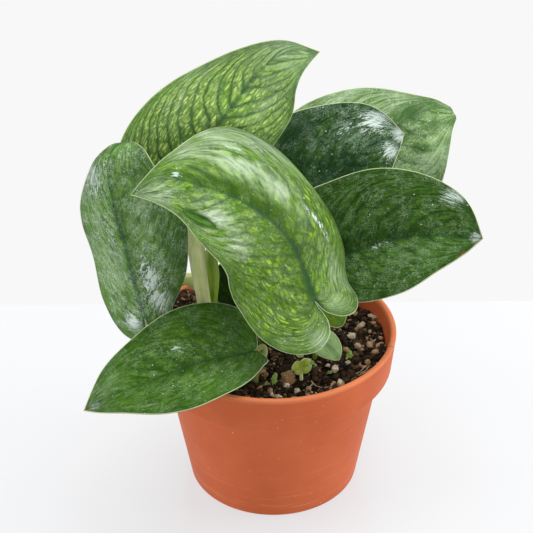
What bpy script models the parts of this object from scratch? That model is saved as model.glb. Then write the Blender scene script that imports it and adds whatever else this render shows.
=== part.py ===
"""A satin pothos with large heart-shaped leaves, growing in its round terracotta-coloured pot.

Metres, +Z up. The origin is on the table at the middle of the pot's base, and -Y is the side
the photo was taken from. Leaf points are typed in millimetres and scaled once, when a mesh is made.
"""
import math

import bmesh
import bpy
import numpy as np

MM = 0.001

# Pot, millimetres
RIM_RADIUS = 60.0
POT_HEIGHT = 83.4
BAND_HEIGHT = 19.5
BAND_FOOT_RADIUS = 57.8
BODY_TOP_RADIUS = 52.8
BASE_RADIUS = 42.1
WALL = 3.0
FLOOR = 3.5
EDGE_ROUND = 0.9
LIP_ROUND = 1.4
SHOULDER_BELOW = 4.0
SHOULDER_ABOVE = 2.0
POT_SIDES = 88

# Soil, millimetres
SOIL_TOP = 74.0
SOIL_GAP = 0.25
SOIL_SIDES = 48
RELIEF = 0.7
HEAP = (-46.0, 33.0)
HEAP_RISE = 9.5
HEAP_REACH = 14.0
LUMP_SUNK = 0.35
HOLE_GAP = 0.25
HOLE_SIDES = 12
HOLE_ABOVE = 9.0

# Leaves, millimetres
BLADE = 0.8
BOW = 1.4
LARGE_ROWS = 21
LARGE_COLUMNS = 5
SMALL_ROWS = 8
SMALL_COLUMNS = 3
TIP_CROWDING = 1.7
CURL_STEPS = 12
CALM = 0.22

# Each leaf: mid runs from the far end of the notch, through the point where the stalk joins,
# to the tip. width is the usual half width. left and right give how far each lobe reaches back
# and the half widths at six places along the blade. face is the way the upper side looks.
# fold and curl are degrees, for the left half and then the right half.
PLACES = (0.04, 0.2, 0.4, 0.6, 0.8, 0.92)

LEAVES = {
    "front": {
        "mid": [(29, -41, 112), (19, -32, 119), (14, -25, 131), (9, -21, 142), (-1, -19, 154),
                (-14, -19, 164), (-30, -22, 173), (-44, -28, 180), (-54, -34, 181), (-61, -38, 178)],
        "width": 36,
        "calm": 0.3,
        "left": (19, [32, 36, 33, 28, 19, 10]),
        "right": (15, [23, 36, 41, 36.5, 13.5, 4]),
        "face": [(0.1, -0.7, 0.7), (0.1, -0.65, 0.75), (0.1, -0.65, 0.75), (0, -0.7, 0.7),
                 (-0.2, -0.75, 0.6)],
        "fold": ([8, 12, 15, 10, 0], [0, 5, 12, 0, -40]),
        "curl": ([30, 35, 35, 30, 10], [70, 70, 55, 40, 20]),
        "stalk": [(13, -11, 66), (13, -11, 80), (13.6, -14, 92), (15, -20, 104), (18, -29, 115),
                  (19, -32.5, 118.3), (17, -29, 123.5)],
        "stalk_radius": [1.9, 1.9, 1.8, 1.7, 1.5, 1.2, 0.3],
    },
    "top": {
        "mid": [(-64, 11, 125), (-53, 12, 141), (-33, 15, 173), (-17, 16, 195), (-4, 17, 212),
                (8, 19, 219), (22, 23, 217)],
        "width": 32,
        "skew": (-0.4, 0.4),
        "left": (14, [27, 31, 34, 29, 11, 3]),
        "right": (14, [27, 30, 29, 26, 18, 8]),
        "face": [(0.2, -0.95, 0.1), (0.2, -0.95, 0.1), (0.2, -0.9, 0.2)],
        "fold": ([3, 3, -10], [10, 10, 5]),
        "curl": ([20, 20, 20], [20, 30, 20]),
        "stalk": [(-33, 3, 66), (-33, 3, 80), (-33.2, 2, 97), (-34.8, 2, 112), (-36.2, 4, 126),
                  (-39.5, 10, 136), (-46, 14.5, 142), (-52, 13.5, 145), (-48, 13, 151)],
        "stalk_radius": [3.1, 3.1, 3.2, 3.4, 3.8, 4.2, 3.2, 1.9, 0.3],
    },
    "left": {
        "mid": [(-60, -8, 85), (-61, -8, 94), (-65, -9, 115), (-68, -10, 136), (-71.5, -10, 155),
                (-73, -9, 171), (-73, -6.5, 178), (-70, -1.5, 183), (-64, 4, 182)],
        "width": 31,
        "left": (15, [27, 27, 24.2, 19.6, 10.2, 3.2]),
        "right": (9, [14.5, 24.5, 29.4, 32, 30, 21]),
        "face": [(-0.3, -0.85, 0.4), (-0.3, -0.85, 0.4), (-0.3, -0.85, 0.5), (-0.4, -0.7, 0.6),
                 (-0.6, -0.1, 0.8)],
        "fold": ([-14, -18, -10, 0, 0], [-10, -10, -10, -10, 0]),
        "curl": ([20, 20, 20, 20, 10], [20, 20, 20, 20, 20]),
        "stalk": [(-33, 14, 66), (-33, 14, 80), (-33.2, 14, 90), (-36, 12.5, 99.5), (-42, 8, 106),
                  (-50, 2, 104.5), (-57, -4, 98), (-61, -7.2, 94), (-62.5, -8.5, 98)],
        "stalk_radius": [2.3, 2.3, 2.5, 3.0, 3.4, 2.9, 2.0, 1.2, 0.3],
    },
    "lower_left": {
        "mid": [(-2, -20, 86), (-9, -25, 87), (-20, -35, 91), (-36, -44, 93), (-54, -52, 90),
                (-71, -58, 87), (-86, -60, 79)],
        "width": 28,
        "skew": (0.2, 0),
        "left": (2, [13, 21, 24.5, 20, 11, 5]),
        "right": (4, [23.5, 26.8, 26.8, 22.5, 14, 6]),
        "face": [(-0.1, -0.6, 0.8), (-0.1, -0.6, 0.8)],
        "fold": ([30, 28, 15], [20, 20, 10]),
        "curl": ([15, 15, 10], [15, 15, 10]),
        "stalk": [(-9, -30.5, 66), (-9, -30.5, 72), (-8.9, -30.4, 76), (-7.6, -28.7, 79.5),
                  (-4.3, -23, 84.5), (-5, -21.7, 86.5), (-9, -25, 87), (-14, -29.5, 88.7)],
        "stalk_radius": [2.0, 2.0, 2.0, 2.0, 1.9, 1.7, 1.2, 0.3],
    },
    "right": {
        "mid": [(3, 7, 110), (13, 5, 116), (35, 2, 123), (55, -5, 135), (75, -12, 141), (95, -20, 144)],
        "width": 36,
        "skew": (-0.1, 0.1),
        "left": (12, [28, 34, 35.2, 33, 25, 15.8]),
        "right": (2, [13, 23.8, 28.3, 27, 17, 8.4]),
        "face": [(0, -0.78, 0.62), (0, -0.75, 0.65), (0.1, -0.7, 0.7)],
        "fold": ([20, 20, 10], [30, 25, 10]),
        "curl": ([20, 20, 10], [20, 20, 10]),
        "stalk": [(9, 2, 66), (9, 2, 80), (8.5, 3.5, 102), (10, 5, 111), (13, 5.4, 115.5), (18, 4, 118)],
        "stalk_radius": [1.8, 1.8, 1.7, 1.5, 1.2, 0.3],
    },
    "middle": {
        "mid": [(-12, 17, 113), (-4, 19, 118), (18, 29, 142), (36, 41, 151), (51, 49, 158), (65, 55, 159)],
        "width": 33,
        "left": (12, [30, 35, 36.5, 33.5, 23.6, 14.5]),
        "right": (8, [22, 29, 33, 28, 18, 9]),
        "face": [(0.1, -0.7, 0.7), (0.2, -0.65, 0.75), (0.3, -0.5, 0.8)],
        "fold": ([20, 20, 10], [5, 0, 0]),
        "curl": ([20, 20, 10], [20, 20, 20]),
        "stalk": [(-27.7, 8, 66), (-27.7, 8, 80), (-29.2, 7.8, 93), (-28.6, 9, 107), (-29, 11.5, 120),
                  (-23, 15.5, 126.5), (-10, 18.7, 120.5), (-4, 19.8, 117.5), (0, 21.5, 122)],
        "stalk_radius": [2.0, 2.0, 2.1, 2.9, 3.1, 2.8, 1.9, 1.2, 0.3],
    },
    "back_right": {
        "mid": [(-7, 36, 116), (2, 38, 126), (29, 48, 142), (53, 58, 156), (69, 64, 164),
                (82, 70, 166), (90, 74, 163), (88.5, 79, 161.5)],
        "width": 36,
        "left": (12, [30, 34, 34.6, 27, 8.8, 2.6]),
        "right": (12, [30, 36.5, 42, 45.2, 35, 8.8]),
        "face": [(0.2, -0.7, 0.7), (0.2, -0.7, 0.7), (0.3, -0.65, 0.7), (0.4, -0.6, 0.7), (0.6, -0.4, 0.6)],
        "fold": ([10, 10, 0, 0], [10, 0, -10, 0]),
        "curl": ([20, 20, 20, 10], [20, 20, 20, 20]),
        "stalk": [(-15, 25, 66), (-15, 25, 80), (-13.5, 27, 95), (-9, 33, 112), (-1, 38.5, 123.5),
                  (2, 38.5, 125.6), (7, 40.2, 129)],
        "stalk_radius": [1.9, 1.9, 1.8, 1.7, 1.5, 1.2, 0.3],
    },
}

SMALL_LEAVES = {
    "inner": {
        "mid": [(-17, 19, 80), (-18, 19, 85), (-21, 19, 95), (-23, 19, 102), (-24, 19, 109)],
        "width": 10,
        "left": (4, [7, 9, 10, 8, 5, 3]),
        "right": (4, [7, 9, 10, 8, 5, 3]),
        "face": [(-0.2, -0.95, 0.2), (-0.2, -0.95, 0.2)],
        "fold": ([20, 20], [20, 20]),
        "curl": ([20, 20], [20, 20]),
        "stalk": [(-16, 20.5, 66), (-16, 20.5, 78), (-17.2, 19.8, 84.5), (-19, 19.3, 90)],
        "stalk_radius": [1.2, 1.1, 0.9, 0.3],
    },
    "small_right": {
        "mid": [(22, -3, 104), (24, -5, 102), (28, -7, 97), (31, -9, 93), (33, -10, 90)],
        "width": 8,
        "left": (3, [7, 8, 8, 7, 5, 3]),
        "right": (3, [7, 8, 8, 7, 5, 3]),
        "face": [(0.5, -0.7, 0.5), (0.5, -0.7, 0.5)],
        "fold": ([10, 10], [10, 10]),
        "curl": ([20, 20], [20, 20]),
        "stalk": [(20, 2, 66), (20, 2, 80), (20.5, 0, 93), (21.5, -1.5, 100), (24, -5.3, 101.6),
                  (26.5, -6.8, 99)],
        "stalk_radius": [1.2, 1.2, 1.1, 1.0, 0.9, 0.3],
    },
    "small_low": {
        "mid": [(19, -17, 91), (21, -18, 90), (25, -21, 87), (29, -24, 84), (31, -25, 81)],
        "width": 7,
        "left": (3, [6, 7, 7, 6, 4, 2]),
        "right": (3, [6, 7, 7, 6, 4, 2]),
        "face": [(0.3, -0.6, 0.7), (0.3, -0.6, 0.7)],
        "fold": ([10, 10], [10, 10]),
        "curl": ([20, 20], [20, 20]),
        "stalk": [(20, -12, 66), (20, -12, 80), (19.5, -15, 88), (21, -18.3, 89.6), (23.5, -20.1, 88)],
        "stalk_radius": [1.2, 1.1, 1.0, 0.9, 0.3],
    },
    "tucked": {
        "mid": [(-7, -14, 91), (-5, -15, 90), (-1, -16, 87), (3, -17, 84), (6, -17, 82)],
        "width": 6,
        "left": (2, [5, 6, 6, 5, 3, 2]),
        "right": (2, [5, 6, 6, 5, 3, 2]),
        "face": [(0.2, 0.8, 0.4), (0.2, 0.8, 0.4)],
        "fold": ([15, 15], [15, 15]),
        "curl": ([20, 20], [20, 20]),
        "stalk": [(-5, -12, 66), (-5, -12, 78), (-6.5, -13.5, 87), (-5, -15.2, 89.6), (-2.8, -15.8, 88)],
        "stalk_radius": [1.2, 1.1, 1.0, 0.9, 0.3],
    },
    "sprout": {
        "mid": [(13, -33, 81), (13, -33, 82), (13, -34, 85), (14, -35, 88), (14, -36, 90)],
        "width": 5,
        "left": (3, [4, 5, 4, 3, 2, 1]),
        "right": (3, [5, 4, 5, 3, 3, 1]),
        "face": [(0.2, -0.8, 0.5), (0.2, -0.8, 0.5)],
        "fold": ([10, 10], [10, 10]),
        "curl": ([20, 20], [20, 20]),
        "stalk": [(13, -31, 66), (13, -31, 77), (13, -32.6, 81.5), (13.1, -33.6, 84)],
        "stalk_radius": [1.0, 0.9, 0.8, 0.3],
    },
}

# Bark, stone and perlite that show on the soil: x, y, then half length, half width and half height
LUMPS = [
    (6.8, -30.5, 3.4, 2.6, 3.6), (38.7, 3.6, 2.2, 1.8, 1.8), (29.2, -23.8, 2.0, 1.7, 1.7),
    (6.0, -36.5, 1.9, 1.5, 1.3), (10.7, -41.0, 1.6, 1.4, 1.2), (2.4, -46.2, 2.0, 1.5, 1.2),
    (9.3, -47.3, 1.8, 1.3, 1.1), (31.1, -34.1, 2.1, 1.3, 1.2), (46.0, 14.0, 1.9, 1.6, 1.5),
    (41.1, -4.9, 2.0, 1.5, 1.4), (35.0, -16.0, 2.1, 1.6, 1.6), (-1.5, -38.0, 2.0, 1.6, 1.4),
    (22.0, -36.0, 2.4, 1.7, 1.3), (44.0, -20.0, 2.2, 1.8, 1.4), (-20.0, -34.0, 2.3, 1.9, 1.5),
    (-36.0, -20.0, 2.6, 1.8, 1.6), (-44.0, 18.0, 2.4, 2.0, 1.5), (-20.0, 42.0, 2.5, 1.9, 1.6),
    (12.0, 40.0, 2.2, 1.9, 1.5), (34.0, 32.0, 2.6, 2.0, 1.7), (2.0, 24.0, 2.4, 1.7, 1.5),
    (-47.0, -8.0, 2.1, 1.7, 1.4),
]

COLOURS = {
    "pot": (0.62, 0.20, 0.09),
    "soil": (0.035, 0.022, 0.015),
    "front": (0.14, 0.30, 0.06),
    "top": (0.22, 0.42, 0.10),
    "left": (0.11, 0.22, 0.09),
    "lower_left": (0.06, 0.15, 0.03),
    "right": (0.045, 0.12, 0.03),
    "middle": (0.03, 0.08, 0.03),
    "back_right": (0.20, 0.38, 0.14),
    "inner": (0.05, 0.12, 0.03),
    "small_right": (0.16, 0.28, 0.05),
    "small_low": (0.10, 0.20, 0.05),
    "tucked": (0.24, 0.32, 0.14),
    "sprout": (0.50, 0.58, 0.18),
}


def clear_scene():
    """Take out everything a new file starts with."""
    for thing in list(bpy.data.objects):
        bpy.data.objects.remove(thing, do_unlink=True)


def new_material(name, roughness):
    """A plain Principled material in the colour read from the photo."""
    material = bpy.data.materials.new(name)
    material.use_nodes = True
    shader = material.node_tree.nodes["Principled BSDF"]
    shader.inputs["Base Color"].default_value = (*COLOURS[name], 1.0)
    shader.inputs["Roughness"].default_value = roughness
    return material


def new_object(name, points, faces):
    """One closed mesh from points in millimetres."""
    mesh = bpy.data.meshes.new(name)
    mesh.from_pydata([tuple(float(c) * MM for c in p) for p in points], [], faces)
    thing = bpy.data.objects.new(name, mesh)
    bpy.context.scene.collection.objects.link(thing)
    tidy_mesh(thing)
    return thing


def tidy_mesh(thing):
    """Merge doubled points, split into triangles and turn every face outward."""
    work = bmesh.new()
    work.from_mesh(thing.data)
    bmesh.ops.remove_doubles(work, verts=work.verts, dist=0.00001)
    bmesh.ops.dissolve_degenerate(work, edges=work.edges, dist=0.00001)
    bmesh.ops.triangulate(work, faces=work.faces)
    bmesh.ops.recalc_face_normals(work, faces=work.faces)
    work.to_mesh(thing.data)
    work.free()


def combine(body, tools, operation):
    """One exact Boolean of the body with all the tools, which are then removed."""
    group = bpy.data.collections.new("tools")
    bpy.context.scene.collection.children.link(group)
    for tool in tools:
        group.objects.link(tool)
        bpy.context.scene.collection.objects.unlink(tool)
    step = body.modifiers.new("combine", "BOOLEAN")
    step.operation = operation
    step.solver = "EXACT"
    step.operand_type = "COLLECTION"
    step.collection = group
    bpy.context.view_layer.objects.active = body
    bpy.ops.object.modifier_apply(modifier=step.name)
    for tool in tools:
        bpy.data.objects.remove(tool, do_unlink=True)
    bpy.data.collections.remove(group)
    tidy_mesh(body)


def unit(vectors):
    """Vectors of length one."""
    vectors = np.asarray(vectors, float)
    return vectors / np.linalg.norm(vectors, axis=-1, keepdims=True)


def curve_through(points, steps=24):
    """A smooth curve through every point, as closely spaced samples."""
    p = np.array(points, float)
    p = np.vstack([2 * p[0] - p[1], p, 2 * p[-1] - p[-2]])
    parts = []
    for i in range(1, len(p) - 2):
        a, b, c, d = p[i - 1:i + 3]
        t1 = np.linalg.norm(b - a) ** 0.5
        t2 = t1 + np.linalg.norm(c - b) ** 0.5
        t3 = t2 + np.linalg.norm(d - c) ** 0.5
        t = np.linspace(t1, t2, steps, endpoint=False)[:, None]
        ab = (t1 - t) / t1 * a + t / t1 * b
        bc = (t2 - t) / (t2 - t1) * b + (t - t1) / (t2 - t1) * c
        cd = (t3 - t) / (t3 - t2) * c + (t - t2) / (t3 - t2) * d
        abc = (t2 - t) / t2 * ab + t / t2 * bc
        bcd = (t3 - t) / (t3 - t1) * bc + (t - t1) / (t3 - t1) * cd
        parts.append((t2 - t) / (t2 - t1) * abc + (t - t1) / (t2 - t1) * bcd)
    parts.append(p[-2][None])
    return np.vstack(parts)


def distances(curve):
    """Length along the curve at each of its points."""
    return np.r_[0, np.cumsum(np.linalg.norm(np.diff(curve, axis=0), axis=1))]


def sample(where, knots, values):
    """Values of each column at the places asked for."""
    return np.stack([np.interp(where, knots, values[:, k]) for k in range(values.shape[1])], -1)


def evenly(curve, count):
    """The same curve with evenly spaced points."""
    dist = distances(curve)
    return sample(np.linspace(0, dist[-1], count), dist, curve)


def blend(values, t):
    """Numbers or vectors listed from base to tip, blended smoothly at each t from 0 to 1."""
    v = np.array(values, float)
    plain = v.ndim == 1
    if plain:
        v = v[:, None]
    last = len(v) - 1
    v = np.vstack([2 * v[0] - v[1], v, 2 * v[-1] - v[-2]])
    x = np.clip(t, 0, 1) * last
    i = np.minimum(x.astype(int), last - 1)
    f = (x - i)[..., None]
    a, b, c, d = v[i], v[i + 1], v[i + 2], v[i + 3]
    mixed = b + 0.5 * f * (c - a + f * (2 * a - 5 * b + 4 * c - d + f * (3 * (b - c) + d - a)))
    return mixed[..., 0] if plain else mixed


def calm_directions(line, dist, calm):
    """Directions along the midrib that turn more slowly than the midrib does."""
    step = np.linspace(0, dist[-1], 121)
    heading = unit(np.gradient(sample(step, dist, line), axis=0))
    half = int(round(calm * 120))
    window = np.hanning(2 * half + 3)[1:-1]
    window /= window.sum()
    padded = np.vstack([np.repeat(heading[:1], half, 0), heading, np.repeat(heading[-1:], half, 0)])
    slow = np.stack([np.convolve(padded[:, k], window, "valid") for k in range(3)], 1)
    return sample(dist, step, unit(slow))


def half_outline(side, length, count):
    """The margin of one half, from the notch round the lobe to the tip: along, aside."""
    back, widths = side
    first = widths[0]
    points = [(0, 0), (-0.55 * back, 0.05 * first), (-0.92 * back, 0.22 * first),
              (-back, 0.48 * first), (-0.62 * back, 0.8 * first)]
    points += [(place * length, width) for place, width in zip(PLACES, widths)]
    points += [(length, 0)]
    return evenly(curve_through(points), count)


def leaf_surface(leaf, rows, columns):
    """Middle surface of a blade: rows from notch to tip, columns from left margin to right."""
    line = curve_through(leaf["mid"])
    dist = distances(line)
    base = dist[24]
    length = dist[-1] - base
    slow = calm_directions(line, dist, leaf.get("calm", CALM))
    middle = length * np.linspace(0, 1, rows + 1) ** TIP_CROWDING
    along = np.zeros((rows + 1, 2 * columns + 1))
    aside = np.zeros_like(along)
    for sign, key in ((-1, "left"), (1, "right")):
        margin = half_outline(leaf[key], length, rows + 1)
        back = margin[:, 0] - middle
        chord = np.hypot(back, margin[:, 1]) + 1e-9
        bow = BOW * np.maximum(0, -back / chord) ** 1.5
        for j in range(columns + 1):
            share = j / columns
            swell = bow * share * (1 - share)
            along[:, columns + sign * j] = middle + back * share + swell * margin[:, 1]
            aside[:, columns + sign * j] = sign * (margin[:, 1] * share - swell * back)
    skew = leaf.get("skew", (0, 0))
    fullness = np.sqrt(np.minimum(1, np.abs(aside).max(1) / leaf["width"]))[:, None]
    along = along + np.where(aside < 0, skew[0], skew[1]) * np.abs(aside) * fullness
    place = along + base
    heading = unit(sample(place, dist, slow))
    centre = sample(place, dist, line) + heading * np.minimum(place, 0)[..., None]
    t = (along / length).clip(0, 1)
    normal = blend(leaf["face"], t)
    normal = unit(normal - heading * (normal * heading).sum(-1, keepdims=True))
    across = np.cross(heading, normal)
    out = np.zeros_like(along)
    rise = np.zeros_like(along)
    reach = np.abs(aside)
    for sign, side in ((-1, 0), (1, 1)):
        fold = np.radians(blend(leaf["fold"][side], t))
        curl = np.radians(blend(leaf["curl"][side], t))
        half = np.sign(aside) == sign
        step = reach / CURL_STEPS
        for k in range(CURL_STEPS):
            angle = fold - curl * (k + 0.5) * step / leaf["width"]
            out += np.where(half, sign * np.cos(angle) * step, 0)
            rise += np.where(half, np.sin(angle) * step, 0)
    return centre + across * out[..., None] + normal * rise[..., None]


def surface_normals(points, faces):
    """A normal at each point, averaged from the faces around it."""
    normals = np.zeros_like(points)
    for face in faces:
        a, b, c = points[list(face)]
        normal = np.cross(b - a, c - a)
        for corner in face:
            normals[corner] += normal
    return unit(normals)


def blade_sheet(rows, columns):
    """Triangles of the sheet, and its margin loops; the notch and the tip are single points."""
    wide = 2 * columns + 1
    tip = 1 + (rows - 1) * wide

    def index(i, j):
        if i == 0:
            return 0
        if i == rows:
            return tip
        return 1 + (i - 1) * wide + j

    faces = []
    for i in range(rows):
        for j in range(wide - 1):
            if i > 0:
                faces.append((index(i, j), index(i, j + 1), index(i + 1, j)))
            if i < rows - 1:
                faces.append((index(i, j + 1), index(i + 1, j + 1), index(i + 1, j)))
    loops = [[index(i, j) for i in range(rows + 1)] for j in (0, wide - 1)]
    return faces, loops, tip + 1


def add_blade(name, leaf, rows, columns):
    """A closed thin blade with the same triangles on both faces."""
    grid = leaf_surface(leaf, rows, columns)
    points = np.vstack([grid[0, :1], grid[1:rows].reshape(-1, 3), grid[rows, :1]])
    faces, loops, count = blade_sheet(rows, columns)
    offset = surface_normals(points, faces) * BLADE / 2
    both = np.vstack([points + offset, points - offset])
    solid = list(faces)
    solid += [(c + count, b + count, a + count) for a, b, c in faces]
    for loop in loops:
        for a, b in zip(loop[:-1], loop[1:]):
            solid.append((a, b, b + count))
            solid.append((a, b + count, a + count))
    return new_object(name, both, solid)


def add_stalk(name, points, radii, sides, rings):
    """A round tapering stalk along a smooth curve."""
    line = evenly(curve_through(points), rings)
    line[0] = points[0]
    heading = unit(np.gradient(line, axis=0))
    heading[0] = (0, 0, 1)
    radius = np.interp(np.linspace(0, 1, rings), np.linspace(0, 1, len(radii)), radii)
    side = np.array((1.0, 0.0, 0.0))
    rim = []
    for centre, ahead, r in zip(line, heading, radius):
        side = unit(side - ahead * (side @ ahead))
        up = np.cross(ahead, side)
        for k in range(sides):
            turn = 2 * math.pi * k / sides
            rim.append(centre + r * (math.cos(turn) * side + math.sin(turn) * up))
    faces = []
    for i in range(rings - 1):
        for k in range(sides):
            a = i * sides + k
            b = i * sides + (k + 1) % sides
            faces.append((a, b, b + sides, a + sides))
    faces.append(tuple(range(sides))[::-1])
    faces.append(tuple(range((rings - 1) * sides, rings * sides)))
    return new_object(name, rim, faces)


def add_leaf(key, leaf, rows, columns, sides, rings):
    """A blade fused to its stalk."""
    name = "sprout" if key == "sprout" else "leaf_" + key
    blade = add_blade(name, leaf, rows, columns)
    stalk = add_stalk(name + "_stalk", leaf["stalk"], leaf["stalk_radius"], sides, rings)
    combine(blade, [stalk], "UNION")
    blade.data.materials.append(new_material(key, 0.45))


def turned(name, profile, sides):
    """A solid turned round Z from a profile that starts and ends on the axis."""
    points = [(0, 0, profile[0][1])]
    for radius, height in profile[1:-1]:
        for k in range(sides):
            turn = 2 * math.pi * k / sides
            points.append((radius * math.cos(turn), radius * math.sin(turn), height))
    points.append((0, 0, profile[-1][1]))
    rings = len(profile) - 2
    last = len(points) - 1
    faces = []
    for k in range(sides):
        n = (k + 1) % sides
        faces.append((0, 1 + n, 1 + k))
        for i in range(rings - 1):
            a = 1 + i * sides
            faces.append((a + k, a + n, a + sides + n, a + sides + k))
        a = 1 + (rings - 1) * sides
        faces.append((a + k, a + n, last))
    return new_object(name, points, faces)


def inner_radius(height):
    """Radius of the pot's inside at a height."""
    band_foot = POT_HEIGHT - BAND_HEIGHT
    heights = [FLOOR, band_foot - SHOULDER_BELOW, band_foot + SHOULDER_ABOVE, POT_HEIGHT]
    radii = [BASE_RADIUS - WALL + 0.5, BODY_TOP_RADIUS - WALL - 0.7, BAND_FOOT_RADIUS - WALL + 0.2,
             RIM_RADIUS - WALL + 0.3]
    return float(np.interp(height, heights, radii))


def add_pot():
    """A tapered round pot with a broad band under its rounded lip."""
    band_foot = POT_HEIGHT - BAND_HEIGHT
    shoulder = [FLOOR, band_foot - SHOULDER_BELOW, band_foot + SHOULDER_ABOVE, POT_HEIGHT - EDGE_ROUND]
    profile = [
        (0, 0),
        (BASE_RADIUS - EDGE_ROUND, 0),
        (BASE_RADIUS - EDGE_ROUND / 4, EDGE_ROUND / 4),
        (BASE_RADIUS, EDGE_ROUND),
        (BODY_TOP_RADIUS, band_foot),
        (BAND_FOOT_RADIUS - EDGE_ROUND, band_foot),
        (BAND_FOOT_RADIUS - EDGE_ROUND / 4, band_foot + EDGE_ROUND / 4),
        (BAND_FOOT_RADIUS, band_foot + EDGE_ROUND),
        (RIM_RADIUS, POT_HEIGHT - LIP_ROUND),
        (RIM_RADIUS - LIP_ROUND / 4, POT_HEIGHT - LIP_ROUND / 4),
        (RIM_RADIUS - LIP_ROUND, POT_HEIGHT),
        (RIM_RADIUS - WALL + EDGE_ROUND, POT_HEIGHT),
    ]
    profile += [(inner_radius(height), height) for height in reversed(shoulder)]
    profile.append((0, FLOOR))
    pot = turned("pot", profile, POT_SIDES)
    pot.data.materials.append(new_material("pot", 0.7))


def relief(x, y):
    """Gentle unevenness of the soil surface, and the heap against the wall at the back left."""
    waves = ((0.31, 0.12, 0.4), (-0.18, 0.37, 1.9), (0.52, -0.29, 3.1), (0.11, 0.61, 5.0),
             (-0.47, -0.41, 0.8))
    gentle = RELIEF * sum(math.sin(a * x + b * y + c) for a, b, c in waves) / 2
    away = math.dist((x, y), HEAP) / HEAP_REACH
    return gentle + HEAP_RISE * math.exp(-away * away)


def add_soil():
    """The soil filling the pot, with an uneven top, lumps, and a plain hole for every stalk."""
    band_foot = POT_HEIGHT - BAND_HEIGHT
    top_radius = inner_radius(SOIL_TOP) - SOIL_GAP
    profile = [(0, FLOOR + SOIL_GAP)]
    for height in (FLOOR, band_foot - SHOULDER_BELOW, band_foot + SHOULDER_ABOVE):
        profile.append((inner_radius(height) - SOIL_GAP, max(height, FLOOR + SOIL_GAP)))
    rings = np.linspace(top_radius, 0, 10)
    profile += [(radius, SOIL_TOP) for radius in rings]
    soil = turned("soil", profile, SOIL_SIDES)
    for vertex in soil.data.vertices:
        x, y, z = vertex.co / MM
        if z > SOIL_TOP - 0.5:
            vertex.co.z = (SOIL_TOP + relief(x, y)) * MM
    combine(soil, [add_lump(i, lump) for i, lump in enumerate(LUMPS)], "UNION")
    holes = []
    for leaf in list(LEAVES.values()) + list(SMALL_LEAVES.values()):
        x, y, foot = leaf["stalk"][0]
        radius = leaf["stalk_radius"][0] + HOLE_GAP
        floor = foot - HOLE_GAP
        top = SOIL_TOP + HOLE_ABOVE
        hole = turned("hole", [(0, floor), (radius, floor), (radius, top), (0, top)], HOLE_SIDES)
        hole.location = (x * MM, y * MM, 0)
        holes.append(hole)
    bpy.context.view_layer.update()
    combine(soil, holes, "DIFFERENCE")
    soil.data.materials.append(new_material("soil", 0.95))


def add_lump(number, lump):
    """One rough lump, half sunk in the soil."""
    x, y, length, width, height = lump
    work = bmesh.new()
    bmesh.ops.create_icosphere(work, subdivisions=1, radius=1.0)
    turn = number * 1.3
    points = []
    for vertex in work.verts:
        rough = 1 + 0.12 * math.sin(5 * vertex.co.x + 7 * vertex.co.y + 3 * vertex.co.z + number)
        a = vertex.co.x * length * rough
        b = vertex.co.y * width * rough
        level = SOIL_TOP + relief(x, y) + LUMP_SUNK * height
        points.append((x + a * math.cos(turn) - b * math.sin(turn),
                       y + a * math.sin(turn) + b * math.cos(turn),
                       level + vertex.co.z * height * rough))
    faces = [tuple(v.index for v in face.verts) for face in work.faces]
    work.free()
    return new_object("lump", points, faces)


def build():
    """Every sub-part of the plant and its pot."""
    clear_scene()
    add_pot()
    add_soil()
    for key, leaf in LEAVES.items():
        add_leaf(key, leaf, LARGE_ROWS, LARGE_COLUMNS, 8, 14)
    for key, leaf in SMALL_LEAVES.items():
        add_leaf(key, leaf, SMALL_ROWS, SMALL_COLUMNS, 6, 8)


build()
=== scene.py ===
"""Looks of the satin pothos in its pot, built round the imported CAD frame.

Leaf points are typed in millimetres, as in the part's source, and scaled once, when a mesh is made.
"""
import math
from functools import partialmethod

import bmesh
import bpy
import numpy as np
from mathutils import Matrix, Vector, noise


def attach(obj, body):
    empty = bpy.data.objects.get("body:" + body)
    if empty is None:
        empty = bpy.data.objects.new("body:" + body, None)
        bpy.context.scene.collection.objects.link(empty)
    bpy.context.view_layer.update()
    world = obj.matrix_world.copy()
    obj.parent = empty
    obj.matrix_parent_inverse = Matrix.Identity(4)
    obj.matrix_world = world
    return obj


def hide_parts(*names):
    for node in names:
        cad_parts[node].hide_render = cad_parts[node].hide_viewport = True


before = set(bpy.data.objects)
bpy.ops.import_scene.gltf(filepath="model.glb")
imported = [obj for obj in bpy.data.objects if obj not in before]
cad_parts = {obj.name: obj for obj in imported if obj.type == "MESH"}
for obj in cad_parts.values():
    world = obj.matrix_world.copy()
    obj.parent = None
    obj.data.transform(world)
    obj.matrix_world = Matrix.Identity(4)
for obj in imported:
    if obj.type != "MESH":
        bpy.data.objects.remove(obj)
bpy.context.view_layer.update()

MM = 0.001

# Camera, solved from the outlines of the pot's rim, band and base
LENS = 100
SENSOR = 36
CAMERA_TARGET = (-2.9, 0, 117.7)
CAMERA_DISTANCE = 699
CAMERA_ELEVATION = 31.9
CAMERA_ROLL = -0.44

# Lamps: name, place, the height they aim at, size in metres, power in watts
LAMPS = [
    ("above", (0.10, 0.22, 1.1), 0.10, 0.9, 11),
    ("left", (-0.9, -0.1, 0.35), 0.08, 0.6, 3.6),
    ("right", (0.9, -0.05, 0.35), 0.08, 0.6, 6.5),
    ("front", (-0.4, -1.1, 0.6), 0.12, 0.8, 3),
]
# Strength of the white all round and of the floor's own glow, the wall's colour, and the floor's half
# width and far edge in millimetres
SURROUND = 0.6
WALL = (0.939, 0.939, 0.942)
FLOOR_HALF = 1500
FLOOR_BACK = 148

# Sizes of the pot and the soil that the part's source also uses, millimetres
POT_HEIGHT = 83.4
BAND_HEIGHT = 19.5
SOIL_TOP = 74
SOIL_RADIUS = 55.8
SOIL_FLOOR = 3.75
RELIEF = 0.7
HEAP = (-46, 33)
HEAP_RISE = 9.5
HEAP_REACH = 14

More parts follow.
